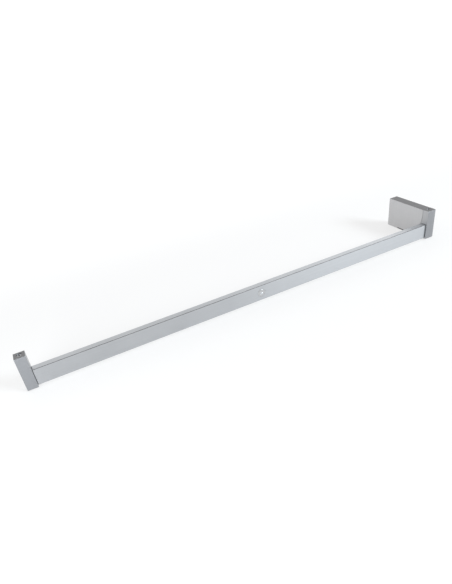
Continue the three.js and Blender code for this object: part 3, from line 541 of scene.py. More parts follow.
def socket_cutter(across, depth):
    """A hexagon socket with a chamfered mouth, opening towards +Z at the origin."""
    wide = across / math.sqrt(3)
    low, high = -SOCKET_CHAMFER, OVER - SOCKET_CHAMFER
    mouth = lathe([(0, low), (wide + low, low), (wide + high, high), (0, high)], "Z", (0, 0, 0))
    return [prism(hexagon(across), "Z", -depth, OVER), mouth]


def countersunk_screw(screw, length):
    """A countersunk screw pointing down, with its head's face at the origin."""
    radius, head, socket = screw
    cone = head - radius
    thread = threaded(radius, -length + THREAD_STARTS, -cone - THREAD_RUNOUT)
    rim = [(radius, -cone - HEAD_RIM), (head, -HEAD_RIM), (head, 0), (head - RIM_FLAT, 0)]
    profile = [(0, -length), (radius - TIP_CHAMFER, -length), *thread, (radius, -cone - SHANK)]
    profile += [*rounded(rim, RIM_ROUNDING), (0, 0)]
    return carve(lathe(profile, "Z", (0, 0, 0)), *socket_cutter(socket, cone * SOCKET_SHARE))


def countersunk_bore(screw, length, sink=HEAD_SINK):
    """What a countersunk screw's hole takes away, opening upwards at the origin."""
    radius = screw[0] + GAP
    head = screw[1] + HEAD_GAP
    shaft = [(0, -length), (radius, -length), (radius, -sink - head + radius)]
    return lathe([*shaft, (head, -sink), (head, OVER), (0, OVER)], "Z", (0, 0, 0))


def middle(node):
    low, high = box(node)
    return (low + high) / 2


def spigot_screw_bore(name):
    """The bore of a screw that goes through the back of the bar into a spigot."""
    bore = turn(countersunk_bore(SPIGOT_SCREW, SPIGOT_BORE), -math.pi / 2, "X")
    return move(bore, (middle(name).x, BAR_HIGH.y, middle(name).z))


def screw_bore_from_below(name, face_z):
    bore = turn(countersunk_bore(SMALL_SCREW, SMALL_BORE), math.pi, "X")
    return move(bore, (0, middle(name).y, face_z))


# ---------------------------------------------------------------- the bar

BAR_LOW, BAR_HIGH = box("bar_body")
FACE_LOW, FACE_HIGH = box("bar_face")
PLUG_LOW, PLUG_HIGH = box("centre_plug")
PLUG_X = (PLUG_LOW.x + PLUG_HIGH.x) / 2
PLUG_Z = (PLUG_LOW.z + PLUG_HIGH.z) / 2
BAR_WALL = 1.5
BAR_CORNER = 1.0
STEM_HOLE_RADIUS = 5.3
FACE_THICKNESS = 0.7
FACE_RIB_INSET = 2.0
FACE_ROUNDING = 0.12
FACE_HOLE_RADIUS = 9.2
PLUG_DOME = 1.3
PLUG_DOME_STEPS = 12
PLUG_ROUNDING = 0.4
PLUG_RIM = 0.45
PLUG_EDGE = 0.3  # from the foot of the dome to the side
PLUG_STEM_RADIUS = 5
PLUG_SOCKET_ACROSS = 5
PLUG_SOCKET_DEPTH = 2
SPIGOT_SCREWS = [name for name in frame["nodes"] if name.startswith("spigot_screw")]


def is_back_edge(edge):
    return along("X")(edge) and min(v.co.y for v in edge.verts) > BAR_HIGH.y - NEAR


def is_front_edge(edge):
    return max(v.co.y for v in edge.verts) < FACE_LOW.y + NEAR


def make_bar_body():
    bm = round_edges(block(BAR_LOW, BAR_HIGH), BAR_CORNER, pick=is_back_edge)
    inset = Vector((-OVER, BAR_WALL, BAR_WALL))
    hollow = block(BAR_LOW + inset, BAR_HIGH - inset)
    stem = rod("Y", STEM_HOLE_RADIUS, BAR_LOW.y - OVER, BAR_LOW.y + BAR_WALL + OVER, PLUG_X, PLUG_Z)
    bores = [spigot_screw_bore(name) for name in SPIGOT_SCREWS]
    bm = carve(bm, hollow, stem, *bores)
    # The body's front face behind the strip is black, which paints the shade down in the groove between the
    # strip and the body.
    finish_piece("bar_body", bm, BAR, [(BLACK, (FRONT,))])


def make_bar_face():
    low, high = FACE_LOW, FACE_HIGH
    step = low.y + FACE_THICKNESS
    outline = [
        (low.y, low.z),
        (step, low.z),
        (step, low.z + FACE_RIB_INSET),
        (high.y, low.z + FACE_RIB_INSET),
        (high.y, high.z - FACE_RIB_INSET),
        (step, high.z - FACE_RIB_INSET),
        (step, high.z),
        (low.y, high.z),
    ]
    bm = prism(outline, "X", low.x, high.x)
    round_edges(bm, FACE_ROUNDING, segments=2, pick=is_front_edge)
    hole = rod("Y", FACE_HOLE_RADIUS, low.y - OVER, high.y + OVER, PLUG_X, PLUG_Z)
    # The strip's top and bottom edges take the darker finish, which paints the groove's shade wider.
    finish_piece("bar_face", carve(bm, hole), BAR, [(MILLED_AND_SHADED, (UP, DOWN))])


def make_plug():
    low, high = PLUG_LOW.y, PLUG_HIGH.y
    seat = FACE_HIGH.y
    rim = PLUG_HIGH.x - PLUG_X
    inner = rim - PLUG_RIM
    sphere = (inner**2 + PLUG_DOME**2) / (2 * PLUG_DOME)
    radii = [inner * i / PLUG_DOME_STEPS for i in range(PLUG_DOME_STEPS + 1)]
    dome = [(r, low + sphere - math.sqrt(sphere**2 - r**2)) for r in radii]
    stem = PLUG_STEM_RADIUS
    edge = low + PLUG_DOME + PLUG_EDGE
    sides = [dome[-2], (rim, edge), (rim, seat), (stem, seat), (stem, high), (0, high)]
    bm = lathe([*dome[:-2], *rounded(sides, PLUG_ROUNDING)], "Y", (PLUG_X, 0, PLUG_Z))
    cutters = []
    for cutter in socket_cutter(PLUG_SOCKET_ACROSS, PLUG_SOCKET_DEPTH):
        cutters.append(move(turn(cutter, math.pi / 2, "X"), (PLUG_X, low, PLUG_Z)))
    finish_piece("centre_plug", carve(bm, *cutters), POLISHED)


make_bar_body()
make_bar_face()
make_plug()


# ---------------------------------------------------------------- arms

EDGE = 0.25
AXLE = middle("axle")
LEFT_LOW, LEFT_HIGH = box("left_arm")
RIGHT_LOW, RIGHT_HIGH = box("right_arm")
CLAMP_SINK = 1.5
SUPPORT_HOLE_RADIUS = 2.1
SUPPORT_HOLE_DEPTH = 5
SUPPORT_HOLES_Z = (12, 30)
SUPPORT_HOLE_STEPS = 32
# The arms' tops and bottoms take the darker finish and their sides the lighter one: painted shade and
# painted light by facing.
ARM_FACE_SHADING = ((MILLED_AND_SHADED, (UP, DOWN)), (LIT_SIDES, (LEFT, RIGHT)))


def clamp_bore(name):
    bore = countersunk_bore(CLAMP_SCREW, CLAMP_BORE, CLAMP_SINK)
    return move(bore, (middle(name).x, middle(name).y, LEFT_HIGH.z))


def spigot_pocket(spigot):
    """The hollow round a spigot, which opens towards the bar."""
    low, high = box(spigot)
    gap = Vector((GAP, GAP, GAP))
    return block(low - gap, high + gap)


def make_left_arm():
    bm = round_edges(block(LEFT_LOW, LEFT_HIGH), EDGE)
    x = (LEFT_LOW.x + LEFT_HIGH.x) / 2
    deep = LEFT_HIGH.y - SUPPORT_HOLE_DEPTH
    radius, end, steps = SUPPORT_HOLE_RADIUS, LEFT_HIGH.y + OVER, SUPPORT_HOLE_STEPS
    holes = [rod("Y", radius, deep, end, x, z, steps) for z in SUPPORT_HOLES_Z]
    bm = carve(bm, clamp_bore("clamp_screw_left"), spigot_pocket("spigot_left"), *holes)
    finish_piece("left_arm", bm, CASTING, ARM_FACE_SHADING)


SEAM_RADIUS = 87.5
ARM_SEAM_STEPS = 24
LEVER_FRONT = -116.5
LEVER_TOP = 31
LEVER_BOTTOM = 13
LEVER_WIDE = 20
LEVER_NARROW = 12
LEVER_NARROW_FROM = -47
LEVER_TAPER_FROM = -45
LEVER_ROUNDING = 0.8
BUSH_RADIUS = 5.5
BUSH_GAP = 0.05
EYE_RADIUS = 9.5
EYE_TANGENT = math.radians(-110)
EYE_STEPS = 32


def seam_angle(radius, z):
    """The angle round the axle, on the side away from the door, at which a circle reaches a height."""
    return math.pi - math.asin((z - AXLE.z) / radius)


def make_right_arm():
    low, high = RIGHT_LOW, RIGHT_HIGH
    centre = (AXLE.y, AXLE.z)
    bottom, top = seam_angle(SEAM_RADIUS, low.z), seam_angle(SEAM_RADIUS, high.z)
    back = arc(centre, SEAM_RADIUS, bottom, top, ARM_SEAM_STEPS)
    bm = prism([(low.y, low.z), *back, (low.y, high.z)], "X", low.x, high.x)
    round_edges(bm, EDGE)
    eye_top = math.pi - math.asin((LEVER_TOP - AXLE.z) / EYE_RADIUS)
    eye = arc(centre, EYE_RADIUS, EYE_TANGENT, eye_top, EYE_STEPS)
    under = [(LEVER_FRONT, LEVER_BOTTOM), (LEVER_TAPER_FROM, LEVER_BOTTOM)]
    lever = prism([*under, *eye, (LEVER_FRONT, LEVER_TOP)], "X", -LEVER_NARROW / 2, LEVER_NARROW / 2)
    half = LEVER_WIDE / 2
    web = block((-half, LEVER_FRONT, LEVER_BOTTOM), (half, LEVER_NARROW_FROM, LEVER_TOP))
    bm = weld(bm, round_edges(lever, LEVER_ROUNDING), round_edges(web, LEVER_ROUNDING))
    bore = rod("X", BUSH_RADIUS + BUSH_GAP, -LEVER_WIDE, LEVER_WIDE, AXLE.y, AXLE.z)
    bm = carve(bm, clamp_bore("clamp_screw_right"), spigot_pocket("spigot_right"), bore)
    finish_piece("right_arm", bm, CASTING, ARM_FACE_SHADING)


make_left_arm()
make_right_arm()


# ---------------------------------------------------------------- housing

COVER_LOW, COVER_HIGH = box("housing_cover")
COVER_WALL = 1.5
SEAM_GAP = 0.5
COVER_SEAM_STEPS = 28
REAR_ZONE = 35  # the part next to the door, where the cover has its full height
BOTTOM_COVER_RISE = 3  # how much shorter it is in front of that


def make_cover():
    low, high = COVER_LOW, COVER_HIGH
    radius = SEAM_RADIUS - SEAM_GAP
    top, bottom = seam_angle(radius, high.z), seam_angle(radius, low.z)
    front = arc((AXLE.y, AXLE.z), radius, top, bottom, COVER_SEAM_STEPS)
    bm = prism([(high.y, low.z), (high.y, high.z), *front], "X", low.x, high.x)
    round_edges(bm, EDGE)
    wall = COVER_WALL
    hollow = block((low.x + wall, low.y - OVER, low.z + wall), (high.x - wall, OVER, high.z - wall))
    outside = low - Vector((OVER, OVER, OVER))
    relief = block(outside, (high.x + OVER, -REAR_ZONE, low.z + BOTTOM_COVER_RISE))
    bm = carve(bm, hollow, relief, screw_bore_from_below("cover_screw", low.z))
    # The cover's top and bottom take the darker finish: painted shade on the faces that look up and down.
    finish_piece("housing_cover", bm, COVER, [(MILLED_AND_SHADED, (UP, DOWN))])


make_cover()


# ---------------------------------------------------------------- inside the housing

GUIDE_SCREWS = ("guide_screw_left", "guide_screw_right")
FRAME_LOW, FRAME_HIGH = box("frame")
GUIDE_LOW, GUIDE_HIGH = box("rack_guide")
HUB_LOW, HUB_HIGH = box("spindle_hub")
RACK_LOW, RACK_HIGH = box("rack_slider")
ROLLER = middle("rack_roller")
HUB_Z = (HUB_LOW.z + HUB_HIGH.z) / 2
BOTTOM_COVER_ROUNDING = 0.35
BOTTOM_SEAM_STEPS = 256
FACE_GAP = 0.05  # between faces that rest on each other


def make_bottom_cover():
    low, high = box("bottom_cover")
    slab = block((low.x, -REACH, low.z), (high.x, high.y, high.z))
    start, end = low.x - OVER, high.x + OVER
    seam = rod("X", SEAM_RADIUS - SEAM_GAP, start, end, AXLE.y, AXLE.z, BOTTOM_SEAM_STEPS)
    bm = round_edges(combine(slab, "INTERSECT", [seam]), BOTTOM_COVER_ROUNDING)
    under_frame = FRAME_HIGH.x + GAP
    frame_relief = block((-under_frame, FRAME_LOW.y - GAP, FRAME_LOW.z), (under_frame, OVER, REACH))
    under_guide = GUIDE_HIGH.x + GAP
    guide_relief = block((-under_guide, GUIDE_LOW.y - GAP, GUIDE_LOW.z), (under_guide, OVER, REACH))
    move(frame_relief, (0, 0, -GAP))
    move(guide_relief, (0, 0, -FACE_GAP))
    bm = carve(bm, frame_relief, guide_relief, screw_bore_from_below("bottom_cover_screw", low.z))
    # A black moulding; the dark strip that it shows along the housing's lower edge also stands in for the
    # shade of a gap above the floor.
    finish_piece("bottom_cover", bm, BLACK)


FRAME_BASE = 3.0
FRAME_CHEEK = 1.9
BRIDGE_THICKNESS = 4.0
BRIDGE_TOP = 7.5
BOTTOM_WEB = 4.0
TOP_BRIDGE = 3.0
TOP_BRIDGE_DEPTH = 6.0
FIXING_HOLE_Z = 28.0
FIXING_HOLE_RADIUS = 2.75
COUNTERSINK_RADIUS = 6
COUNTERSINK_DEPTH = 4
AXLE_RADIUS = 4
BUSH_OUTSIDE = 8.45
SHAFT_RADIUS = 4.5
SHAFT_GAP = 0.04
GUIDE_SCREW_Z = -30.0
GUIDE_SCREW_HOLE = 1.8
CASTING_ROUNDING = 0.3


def make_frame():
    low, high = FRAME_LOW, FRAME_HIGH
    back = -OVER
    base = block((low.x, -FRAME_BASE, low.z), high)
    others = [
        block(low, (low.x + FRAME_CHEEK, back, high.z)),
        block((high.x - FRAME_CHEEK, low.y, low.z), (high.x, back, high.z)),
        block(low, (high.x, back, low.z + BOTTOM_WEB)),
        block(low, (high.x, low.y + BRIDGE_THICKNESS, BRIDGE_TOP)),
        block((low.x, low.y, high.z - TOP_BRIDGE), (high.x, low.y + TOP_BRIDGE_DEPTH, high.z)),
    ]
    bm = round_edges(weld(base, *others), CASTING_ROUNDING, segments=2)
    front, behind_bridge = low.y - OVER, low.y + BRIDGE_THICKNESS + OVER
    bores = [
        rod("X", AXLE_RADIUS + FACE_GAP, -REACH, REACH, AXLE.y, AXLE.z),
        rod("Y", BUSH_OUTSIDE, -FRAME_BASE - OVER, OVER, 0, HUB_Z),
        rod("Y", SHAFT_RADIUS + SHAFT_GAP, front, behind_bridge, 0, HUB_Z),
        screw_bore_from_below("cover_screw", COVER_LOW.z),
    ]
    for name in GUIDE_SCREWS:
        bores.append(rod("Y", GUIDE_SCREW_HOLE, front, behind_bridge, middle(name).x, GUIDE_SCREW_Z))
    cone_from = COUNTERSINK_RADIUS - FIXING_HOLE_RADIUS - COUNTERSINK_DEPTH
    hole = [(0, OVER), (FIXING_HOLE_RADIUS, OVER), (FIXING_HOLE_RADIUS, cone_from)]
    hole += [(COUNTERSINK_RADIUS, -COUNTERSINK_DEPTH), (0, -COUNTERSINK_DEPTH)]
    for z in (-FIXING_HOLE_Z, FIXING_HOLE_Z):
        bores.append(lathe(hole, "Y", (0, 0, z)))
    finish_piece("frame", carve(bm, *bores), ZINC)


RING_STEPS = 3  # steps round a corner of a ring


def turned(node, axis, profile, slot, finish, *cuts):
    """A turned piece. The profile's places along the axis are measured in the frame."""
    centre = middle(node)
    centre["XYZ".index(axis)] = 0
    bm = lathe(profile, axis, centre)
    finish_piece(node, carve(bm, *cuts) if cuts else bm, finish)


def ring(inner, outer, start, end, rounding):
    """The closed section of a ring with rounded corners."""
    corners = [(inner, start), (outer, start), (outer, end), (inner, end)]
    start_point = ((inner + outer) / 2, start)
    return rounded([start_point, *corners[1:], corners[0], start_point], rounding, RING_STEPS)[:-1]


BUSH_INSIDE = 4.1
BUSH_FLANGE_RADIUS = 7
BUSH_FLANGE = 1.95
HUB_BUSH_INSIDE = 7.54
HUB_BUSH_RADIUS = 8.4
ROLLER_RADIUS = 4
ROLLER_BORE = 1.54
PIN_RADIUS = 1.5
CIRCLIP_INSIDE = 2.9
CIRCLIP_RADIUS = 5
CIRCLIP_OPENING = 3.2
AXLE_ROUNDING = 0.5
AXLE_BUSH_ROUNDING = 0.25
HUB_BUSH_ROUNDING = 0.2
ROLLER_ROUNDING = 0.35
PIN_ROUNDING = 0.3
CIRCLIP_ROUNDING = 0.15


def pin_profile(node, radius, rounding):
    low, high = box(node)
    return rounded([(0, low.x), (radius, low.x), (radius, high.x), (0, high.x)], rounding)


def make_axle_bush(node):
    """A flanged bush. Its flange is at the end away from the middle of the housing."""
    low, high = box(node)
    side = math.copysign(1, low.x + high.x)
    near, far = sorted((abs(low.x), abs(high.x)))
    flange = far - BUSH_FLANGE
    corners = [(BUSH_RADIUS, near), (BUSH_RADIUS, flange), (BUSH_FLANGE_RADIUS, flange)]
    corners += [(BUSH_FLANGE_RADIUS, far), (BUSH_INSIDE, far), (BUSH_INSIDE, near)]
    start = ((BUSH_RADIUS + BUSH_INSIDE) / 2, near)
    section = rounded([start, *corners, start], AXLE_BUSH_ROUNDING, RING_STEPS)[:-1]
    turned(node, "X", [(r, side * x) for r, x in section], "brass", BRASS)


def make_turned_pieces():
    turned("axle", "X", pin_profile("axle", AXLE_RADIUS, AXLE_ROUNDING), "steel", STEEL)
    make_axle_bush("axle_bush_left")
    make_axle_bush("axle_bush_right")
    low, high = box("hub_bush")
    bush = ring(HUB_BUSH_INSIDE, HUB_BUSH_RADIUS, low.y, high.y, HUB_BUSH_ROUNDING)
    turned("hub_bush", "Y", bush, "white_plastic", WHITE)
    low, high = box("rack_roller")
    roller = ring(ROLLER_BORE, ROLLER_RADIUS, low.x, high.x, ROLLER_ROUNDING)
    turned("rack_roller", "X", roller, "white_plastic", WHITE)
    pin = pin_profile("roller_pin", PIN_RADIUS, PIN_ROUNDING)
    turned("roller_pin", "X", pin, "steel", STEEL)
    low, high = box("hub_circlip")
    half = CIRCLIP_OPENING / 2
    opening = block((-half, low.y - OVER, HUB_Z), (half, high.y + OVER, HUB_Z + CIRCLIP_RADIUS + 2 * OVER))
    section = ring(CIRCLIP_INSIDE, CIRCLIP_RADIUS, low.y, high.y, CIRCLIP_ROUNDING)
    clip = lathe(section, "Y", (0, 0, HUB_Z))
    finish_piece("hub_circlip", carve(clip, opening), DARK_STEEL)


HUB_SHOULDER = -22.0
NOSE_FROM = -44.0
NOSE_FLAT = 2.4
FLAT_CUTTER = 5  # reaches past the nose sideways and upwards
NOSE_RADIUS = 3.5
HUB_RADIUS = 7.5
GROOVE = (-61.3, -60.4)
GROOVE_RADIUS = 2.8
SOCKET_HALF = 4.55
SOCKET_DEPTH = 18
SOCKET_CORNER = 0.4
HUB_ROUNDING = 0.3


def make_hub():
    low, high = HUB_LOW.y, HUB_HIGH.y
    corners = [(0, low), (NOSE_RADIUS, low), (NOSE_RADIUS, GROOVE[0]), (GROOVE_RADIUS, GROOVE[0])]
    corners += [(GROOVE_RADIUS, GROOVE[1]), (NOSE_RADIUS, GROOVE[1]), (NOSE_RADIUS, NOSE_FROM)]
    corners += [(SHAFT_RADIUS, NOSE_FROM), (SHAFT_RADIUS, HUB_SHOULDER), (HUB_RADIUS, HUB_SHOULDER)]
    corners += [(HUB_RADIUS, high), (0, high)]
    bm = lathe(rounded(corners, HUB_ROUNDING), "Y", (0, 0, HUB_Z))
    half = SOCKET_HALF
    socket = block((-half, high - SOCKET_DEPTH, HUB_Z - half), (half, OVER, HUB_Z + half))
    round_edges(socket, SOCKET_CORNER, pick=along("Y"))
    side = FLAT_CUTTER
    flat = block((-side, low - OVER, HUB_Z + NOSE_FLAT), (side, NOSE_FROM, HUB_Z + side))
    finish_piece("spindle_hub", carve(bm, socket, flat), STEEL)


MODULE = 1.0
TEETH = 12
PITCH_RADIUS = MODULE * TEETH / 2
PRESSURE_ANGLE = math.radians(20)
TOOTH_HALF = math.pi * MODULE / 4 - 0.14
TIP_RADIUS = PITCH_RADIUS + 0.9 * MODULE
ROOT_RADIUS = PITCH_RADIUS - 1.2 * MODULE
PINION_FRONT, PINION_BACK = -60.0, -50.0
PINION_BOSS_RADIUS = 5
FLANK_STEPS = 5


def tooth_half_angle(radius):
    """Half the thickness of an involute tooth at a radius, as an angle."""
    base = PITCH_RADIUS * math.cos(PRESSURE_ANGLE)
    angle = math.acos(min(1.0, base / radius))
    at_pitch = math.tan(PRESSURE_ANGLE) - PRESSURE_ANGLE
    return TOOTH_HALF / PITCH_RADIUS + at_pitch - (math.tan(angle) - angle)


def make_pinion():
    base = PITCH_RADIUS * math.cos(PRESSURE_ANGLE)
    steps = range(FLANK_STEPS + 1)
    radii = [ROOT_RADIUS] + [base + (TIP_RADIUS - base) * i / FLANK_STEPS for i in steps]
    outline = []
    for tooth in range(TEETH):
        mid = tooth / TEETH * 2 * math.pi
        flanks = [(r, mid - tooth_half_angle(r)) for r in radii]
        flanks += [(r, mid + tooth_half_angle(r)) for r in reversed(radii)]
        outline += [(r * math.cos(t), HUB_Z + r * math.sin(t)) for r, t in flanks]
    gear = prism(outline, "Y", PINION_FRONT, PINION_BACK)
    radius = PINION_BOSS_RADIUS
    boss = rod("Y", radius, PINION_BACK - OVER, box("drive_pinion")[1].y, 0, HUB_Z)
    front, behind = PINION_FRONT - OVER, PINION_BACK + 2 * radius
    flat_z = HUB_Z + NOSE_FLAT + FACE_GAP
    flat = block((-radius, front - OVER, flat_z), (radius, behind + OVER, HUB_Z + radius))
    nose = carve(rod("Y", NOSE_RADIUS + FACE_GAP, front, behind, 0, HUB_Z), flat)
    bm = carve(weld(gear, round_edges(boss, HUB_ROUNDING)), nose)
    finish_piece("drive_pinion", bm, STEEL)


RACK_TIP = PITCH_RADIUS - 0.75 * MODULE
RACK_ROOT = PITCH_RADIUS + 1.2 * MODULE
HEAD_BOTTOM = 0.2
HEAD_TOP = 4.6
FORK_CHEEK = 2.4
FORK_DEPTH = 9.0
RACK_ROUNDING = 0.4
ROLLER_HALF_LENGTH = 3
SPACES_BELOW = 2  # tooth spaces below the pinion's axis
SPACES_ABOVE = 3


def make_rack():
    low, high = RACK_LOW, RACK_HIGH
    pitch = math.pi * MODULE
    outline = [(high.x, low.z), (RACK_TIP, low.z)]
    for space in range(-SPACES_BELOW, SPACES_ABOVE + 1):
        mid = HUB_Z + space * pitch
        for x, side in ((RACK_TIP, -1), (RACK_ROOT, -1), (RACK_ROOT, 1), (RACK_TIP, 1)):
            half = pitch / 2 - TOOTH_HALF - (x - PITCH_RADIUS) * math.tan(PRESSURE_ANGLE)
            outline.append((x, mid + side * half))
    outline += [(RACK_TIP, HEAD_BOTTOM + OVER), (high.x, HEAD_BOTTOM + OVER)]
    teeth = prism(outline, "Y", PINION_FRONT + GAP, PINION_BACK - GAP)
    head = round_edges(block((low.x, low.y, HEAD_BOTTOM), (high.x, high.y, HEAD_TOP)), RACK_ROUNDING)
    inside = ROLLER.x + ROLLER_HALF_LENGTH + GAP
    front = ROLLER.y - FORK_DEPTH / 2
    cheeks = []
    for side in (-1, 1):
        start, end = sorted((side * inside, side * (inside + FORK_CHEEK)))
        cheek = block((start, front, HEAD_TOP - OVER), (end, front + FORK_DEPTH, high.z))
        cheeks.append(round_edges(cheek, RACK_ROUNDING))
    bm = weld(head, teeth, *cheeks)
    pin = rod("X", PIN_RADIUS + FACE_GAP, -REACH, REACH, ROLLER.y, ROLLER.z)
    room = rod("X", ROLLER_RADIUS + GAP, -inside, inside, ROLLER.y, ROLLER.z)
    finish_piece("rack_slider", carve(bm, pin, room), ZINC)


SPRING_WELL_RADIUS = 5.35
PINION_ROOM = 0.6
CIRCLIP_ROOM = 2.5
CHANNEL_GAP = 0.2
CHANNEL_SLACK = 0.1
GUIDE_SCREW_RADIUS = 1.5
GUIDE_SCREW_HEAD = 3.05  # radius and height of its hole
GUIDE_ROUNDING = 0.5
RACK_TRAVEL = 4.8


def make_guide():
    low, high = GUIDE_LOW, GUIDE_HIGH
    spring = middle("return_spring")
    front, back = low.y - OVER, high.y + OVER
    channel = block(
        (RACK_TIP - GAP, PINION_FRONT - CHANNEL_GAP, RACK_LOW.z - RACK_TRAVEL - OVER),
        (RACK_HIGH.x + CHANNEL_SLACK, PINION_BACK + CHANNEL_GAP, OVER),
    )
    cuts = [
        rod("Y", TIP_RADIUS + PINION_ROOM, PINION_FRONT - CIRCLIP_ROOM, back, 0, HUB_Z),
        channel,
        rod("Z", SPRING_WELL_RADIUS, box("return_spring")[0].z - FACE_GAP, OVER, 0, spring.y),
        screw_bore_from_below("bottom_cover_screw", box("bottom_cover")[0].z),
    ]
    for name in GUIDE_SCREWS:
        x = middle(name).x
        cuts.append(rod("Y", GUIDE_SCREW_HOLE, front, back, x, GUIDE_SCREW_Z))
        cuts.append(rod("Y", GUIDE_SCREW_HEAD, front, box(name)[0].y + GUIDE_SCREW_HEAD, x, GUIDE_SCREW_Z))
    bm = carve(round_edges(block(low, high), GUIDE_ROUNDING), *cuts)
    finish_piece("rack_guide", bm, BLACK)


SPRING_TURNS = 7
SPRING_WIRE = 0.75
SPRING_MEAN = 4.2
SPRING_STEPS = 40
WIRE_STEPS = 14


def make_spring():
    low, high = box("return_spring")
    y = middle("return_spring").y
    bm = new_solid()
    steps = SPRING_TURNS * SPRING_STEPS
    rings = []
    for i in range(steps + 1):
        t = 2 * math.pi * SPRING_TURNS * i / steps
        out = Vector((math.cos(t), math.sin(t), 0))
        z = low.z + SPRING_WIRE + (high.z - low.z - 2 * SPRING_WIRE) * i / steps
        centre = Vector((0, y, z)) + out * SPRING_MEAN
        places = [centre + out * a + Vector((0, 0, b)) for a, b in circle(SPRING_WIRE, steps=WIRE_STEPS)]
        rings.append([bm.verts.new(point) for point in places])
    for current, following in zip(rings, rings[1:]):
        for i in range(WIRE_STEPS):
            j = (i + 1) % WIRE_STEPS
            bm.faces.new((current[i], current[j], following[j], following[i]))
    bm.faces.new(rings[0])
    bm.faces.new(rings[-1])
    bmesh.ops.recalc_face_normals(bm, faces=bm.faces)
    spring = finish_piece("return_spring", bm, STEEL)
    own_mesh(spring)


BUFFER_ROUNDING = 0.3
SPIGOT_ROUNDING = 0.4
GASKET_ROUNDING = 0.15
TAPPED_RADIUS = 2.8


def make_blocks():
    for node in ("rest_buffer", "push_buffer"):
        finish_piece(node, round_edges(block(*box(node)), BUFFER_ROUNDING), RUBBER)
    for side in ("left", "right"):
        spigot = "spigot_" + side
        gasket = "end_gasket_" + side
        clamp = middle("clamp_screw_" + side)
        bore = spigot_screw_bore("spigot_screw_" + side)
        tapped = rod("Z", TAPPED_RADIUS, box("clamp_screw_" + side)[0].z - GAP, REACH, clamp.x, clamp.y)
        bm = carve(round_edges(block(*box(spigot)), SPIGOT_ROUNDING), tapped, bore)
        finish_piece(spigot, bm, STEEL)
        low, high = box(spigot)
        hole = block((low.x, low.y - GAP, low.z - GAP), (high.x, high.y + GAP, high.z + GAP))
        bm = carve(round_edges(block(*box(gasket)), GASKET_ROUNDING, segments=2), hole)
        # The gaskets are black moulding, and their black also paints the shade in the gaps between the
        # bar's ends and the arms.
        finish_piece(gasket, bm, BLACK)


make_bottom_cover()
make_frame()
make_turned_pieces()
make_hub()
make_pinion()
make_rack()
make_guide()
make_spring()
make_blocks()


# ---------------------------------------------------------------- screws in place

UPRIGHT = Quaternion()
BACKWARDS = Quaternion(RIGHT, -math.pi / 2)
UPSIDE_DOWN = Quaternion(RIGHT, math.pi)
SCREWS = {
    "clamp_screw_left": (CLAMP_SCREW, UPRIGHT, PLATED),
    "clamp_screw_right": (CLAMP_SCREW, UPRIGHT, PLATED),
    "spigot_screw_left": (SPIGOT_SCREW, BACKWARDS, DARK_STEEL),
    "spigot_screw_right": (SPIGOT_SCREW, BACKWARDS, DARK_STEEL),
    "cover_screw": (SMALL_SCREW, UPSIDE_DOWN, DARK_STEEL),
    "bottom_cover_screw": (SMALL_SCREW, UPSIDE_DOWN, DARK_STEEL),
}
GUIDE_HEAD_HEIGHT = 3.0
GUIDE_HEAD_ROUNDING = 0.3
GUIDE_SOCKET_ACROSS = 2.5
GUIDE_SOCKET_SHARE = 0.6
GUIDE_SHANK = 1.5
GUIDE_TIP_CHAMFER = 0.5


def make_screw(name):
    screw, facing, finish = SCREWS[name]
    low, high = box(name)
    up = facing @ UP
    length = abs((high - low).dot(up))
    bm = countersunk_screw(screw, length)
    bmesh.ops.rotate(bm, verts=bm.verts, cent=(0, 0, 0), matrix=facing.to_matrix())
    move(bm, middle(name) + up * length / 2)
    finish_piece(name, bm, finish)


def make_guide_screw(name):
    """A cap screw pointing along +Y."""
    low, high = box(name)
    radius, height = GUIDE_SCREW_RADIUS, GUIDE_HEAD_HEIGHT
    head = high.x - middle(name).x
    end = high.y - low.y
    profile = rounded([(0, 0), (head, 0), (head, height), (radius, height)], GUIDE_HEAD_ROUNDING)
    profile += threaded(radius, height + GUIDE_SHANK, end - THREAD_STARTS)
    profile += [(radius - GUIDE_TIP_CHAMFER, end), (0, end)]
    bm = lathe(profile, "Z", (0, 0, 0))
    cutters = socket_cutter(GUIDE_SOCKET_ACROSS, height * GUIDE_SOCKET_SHARE)
    bm = turn(carve(bm, *(turn(cutter, math.pi, "X") for cutter in cutters)), -math.pi / 2, "X")
    finish_piece(name, move(bm, (middle(name).x, low.y, middle(name).z)), DARK_STEEL)


for screw_name in SCREWS:
    make_screw(screw_name)
for screw_name in GUIDE_SCREWS:
    make_guide_screw(screw_name)


# ---------------------------------------------------------------- stage: floor, lights and camera

FLOOR_SIZE = 40.0
FLOOR_THICKNESS = 0.01
FLOOR_GAP = 0.0003
FLOOR_TONE = 0.35
FLOOR_ROUGHNESS = 0.9
FLOOR_GLOW = 0.615  # near the bar
FAR_GLOW = 0.88  # behind it
GLOW_FROM, GLOW_TO = 0.1, 1.0  # where the floor's glow rises, along Y
SKY_DIM = 0.45
SKY_LEFT = 0.12
SKY_BACK = 0.98
# Where each part of the sky fades, as the X, Y or Z of the direction looked in.
BAND_FADE = (0.45, 0.8)
BACK_FADE = (-0.2, 0.5)
LEFT_FADE = (-0.3, 0.5)
KEY_POWER = 124.0
KEY_DISTANCE = 4
KEY_DIRECTION = Vector((0.61, -0.65, 0.46))
KEY_SIZE = (1.6, 1.2)
KEY_COLOUR = (0.88, 0.95, 1.0)
FILL_POWER = 10.0
FILL_PLACE = (-1.45, -0.8, 0.08)
FILL_SIZE = (0.5, 0.4)
FILL_COLOUR = (0.93, 0.97, 1.0)


def fade(tree, value, low, high, at_low, at_high):
    """at_low below low, at_high above high, and smooth between them."""
    inputs = {"Value": value, "From Min": low, "From Max": high, "To Min": at_low, "To Max": at_high}
    return add(tree, "MapRange", inputs, interpolation_type="SMOOTHSTEP").outputs["Result"]


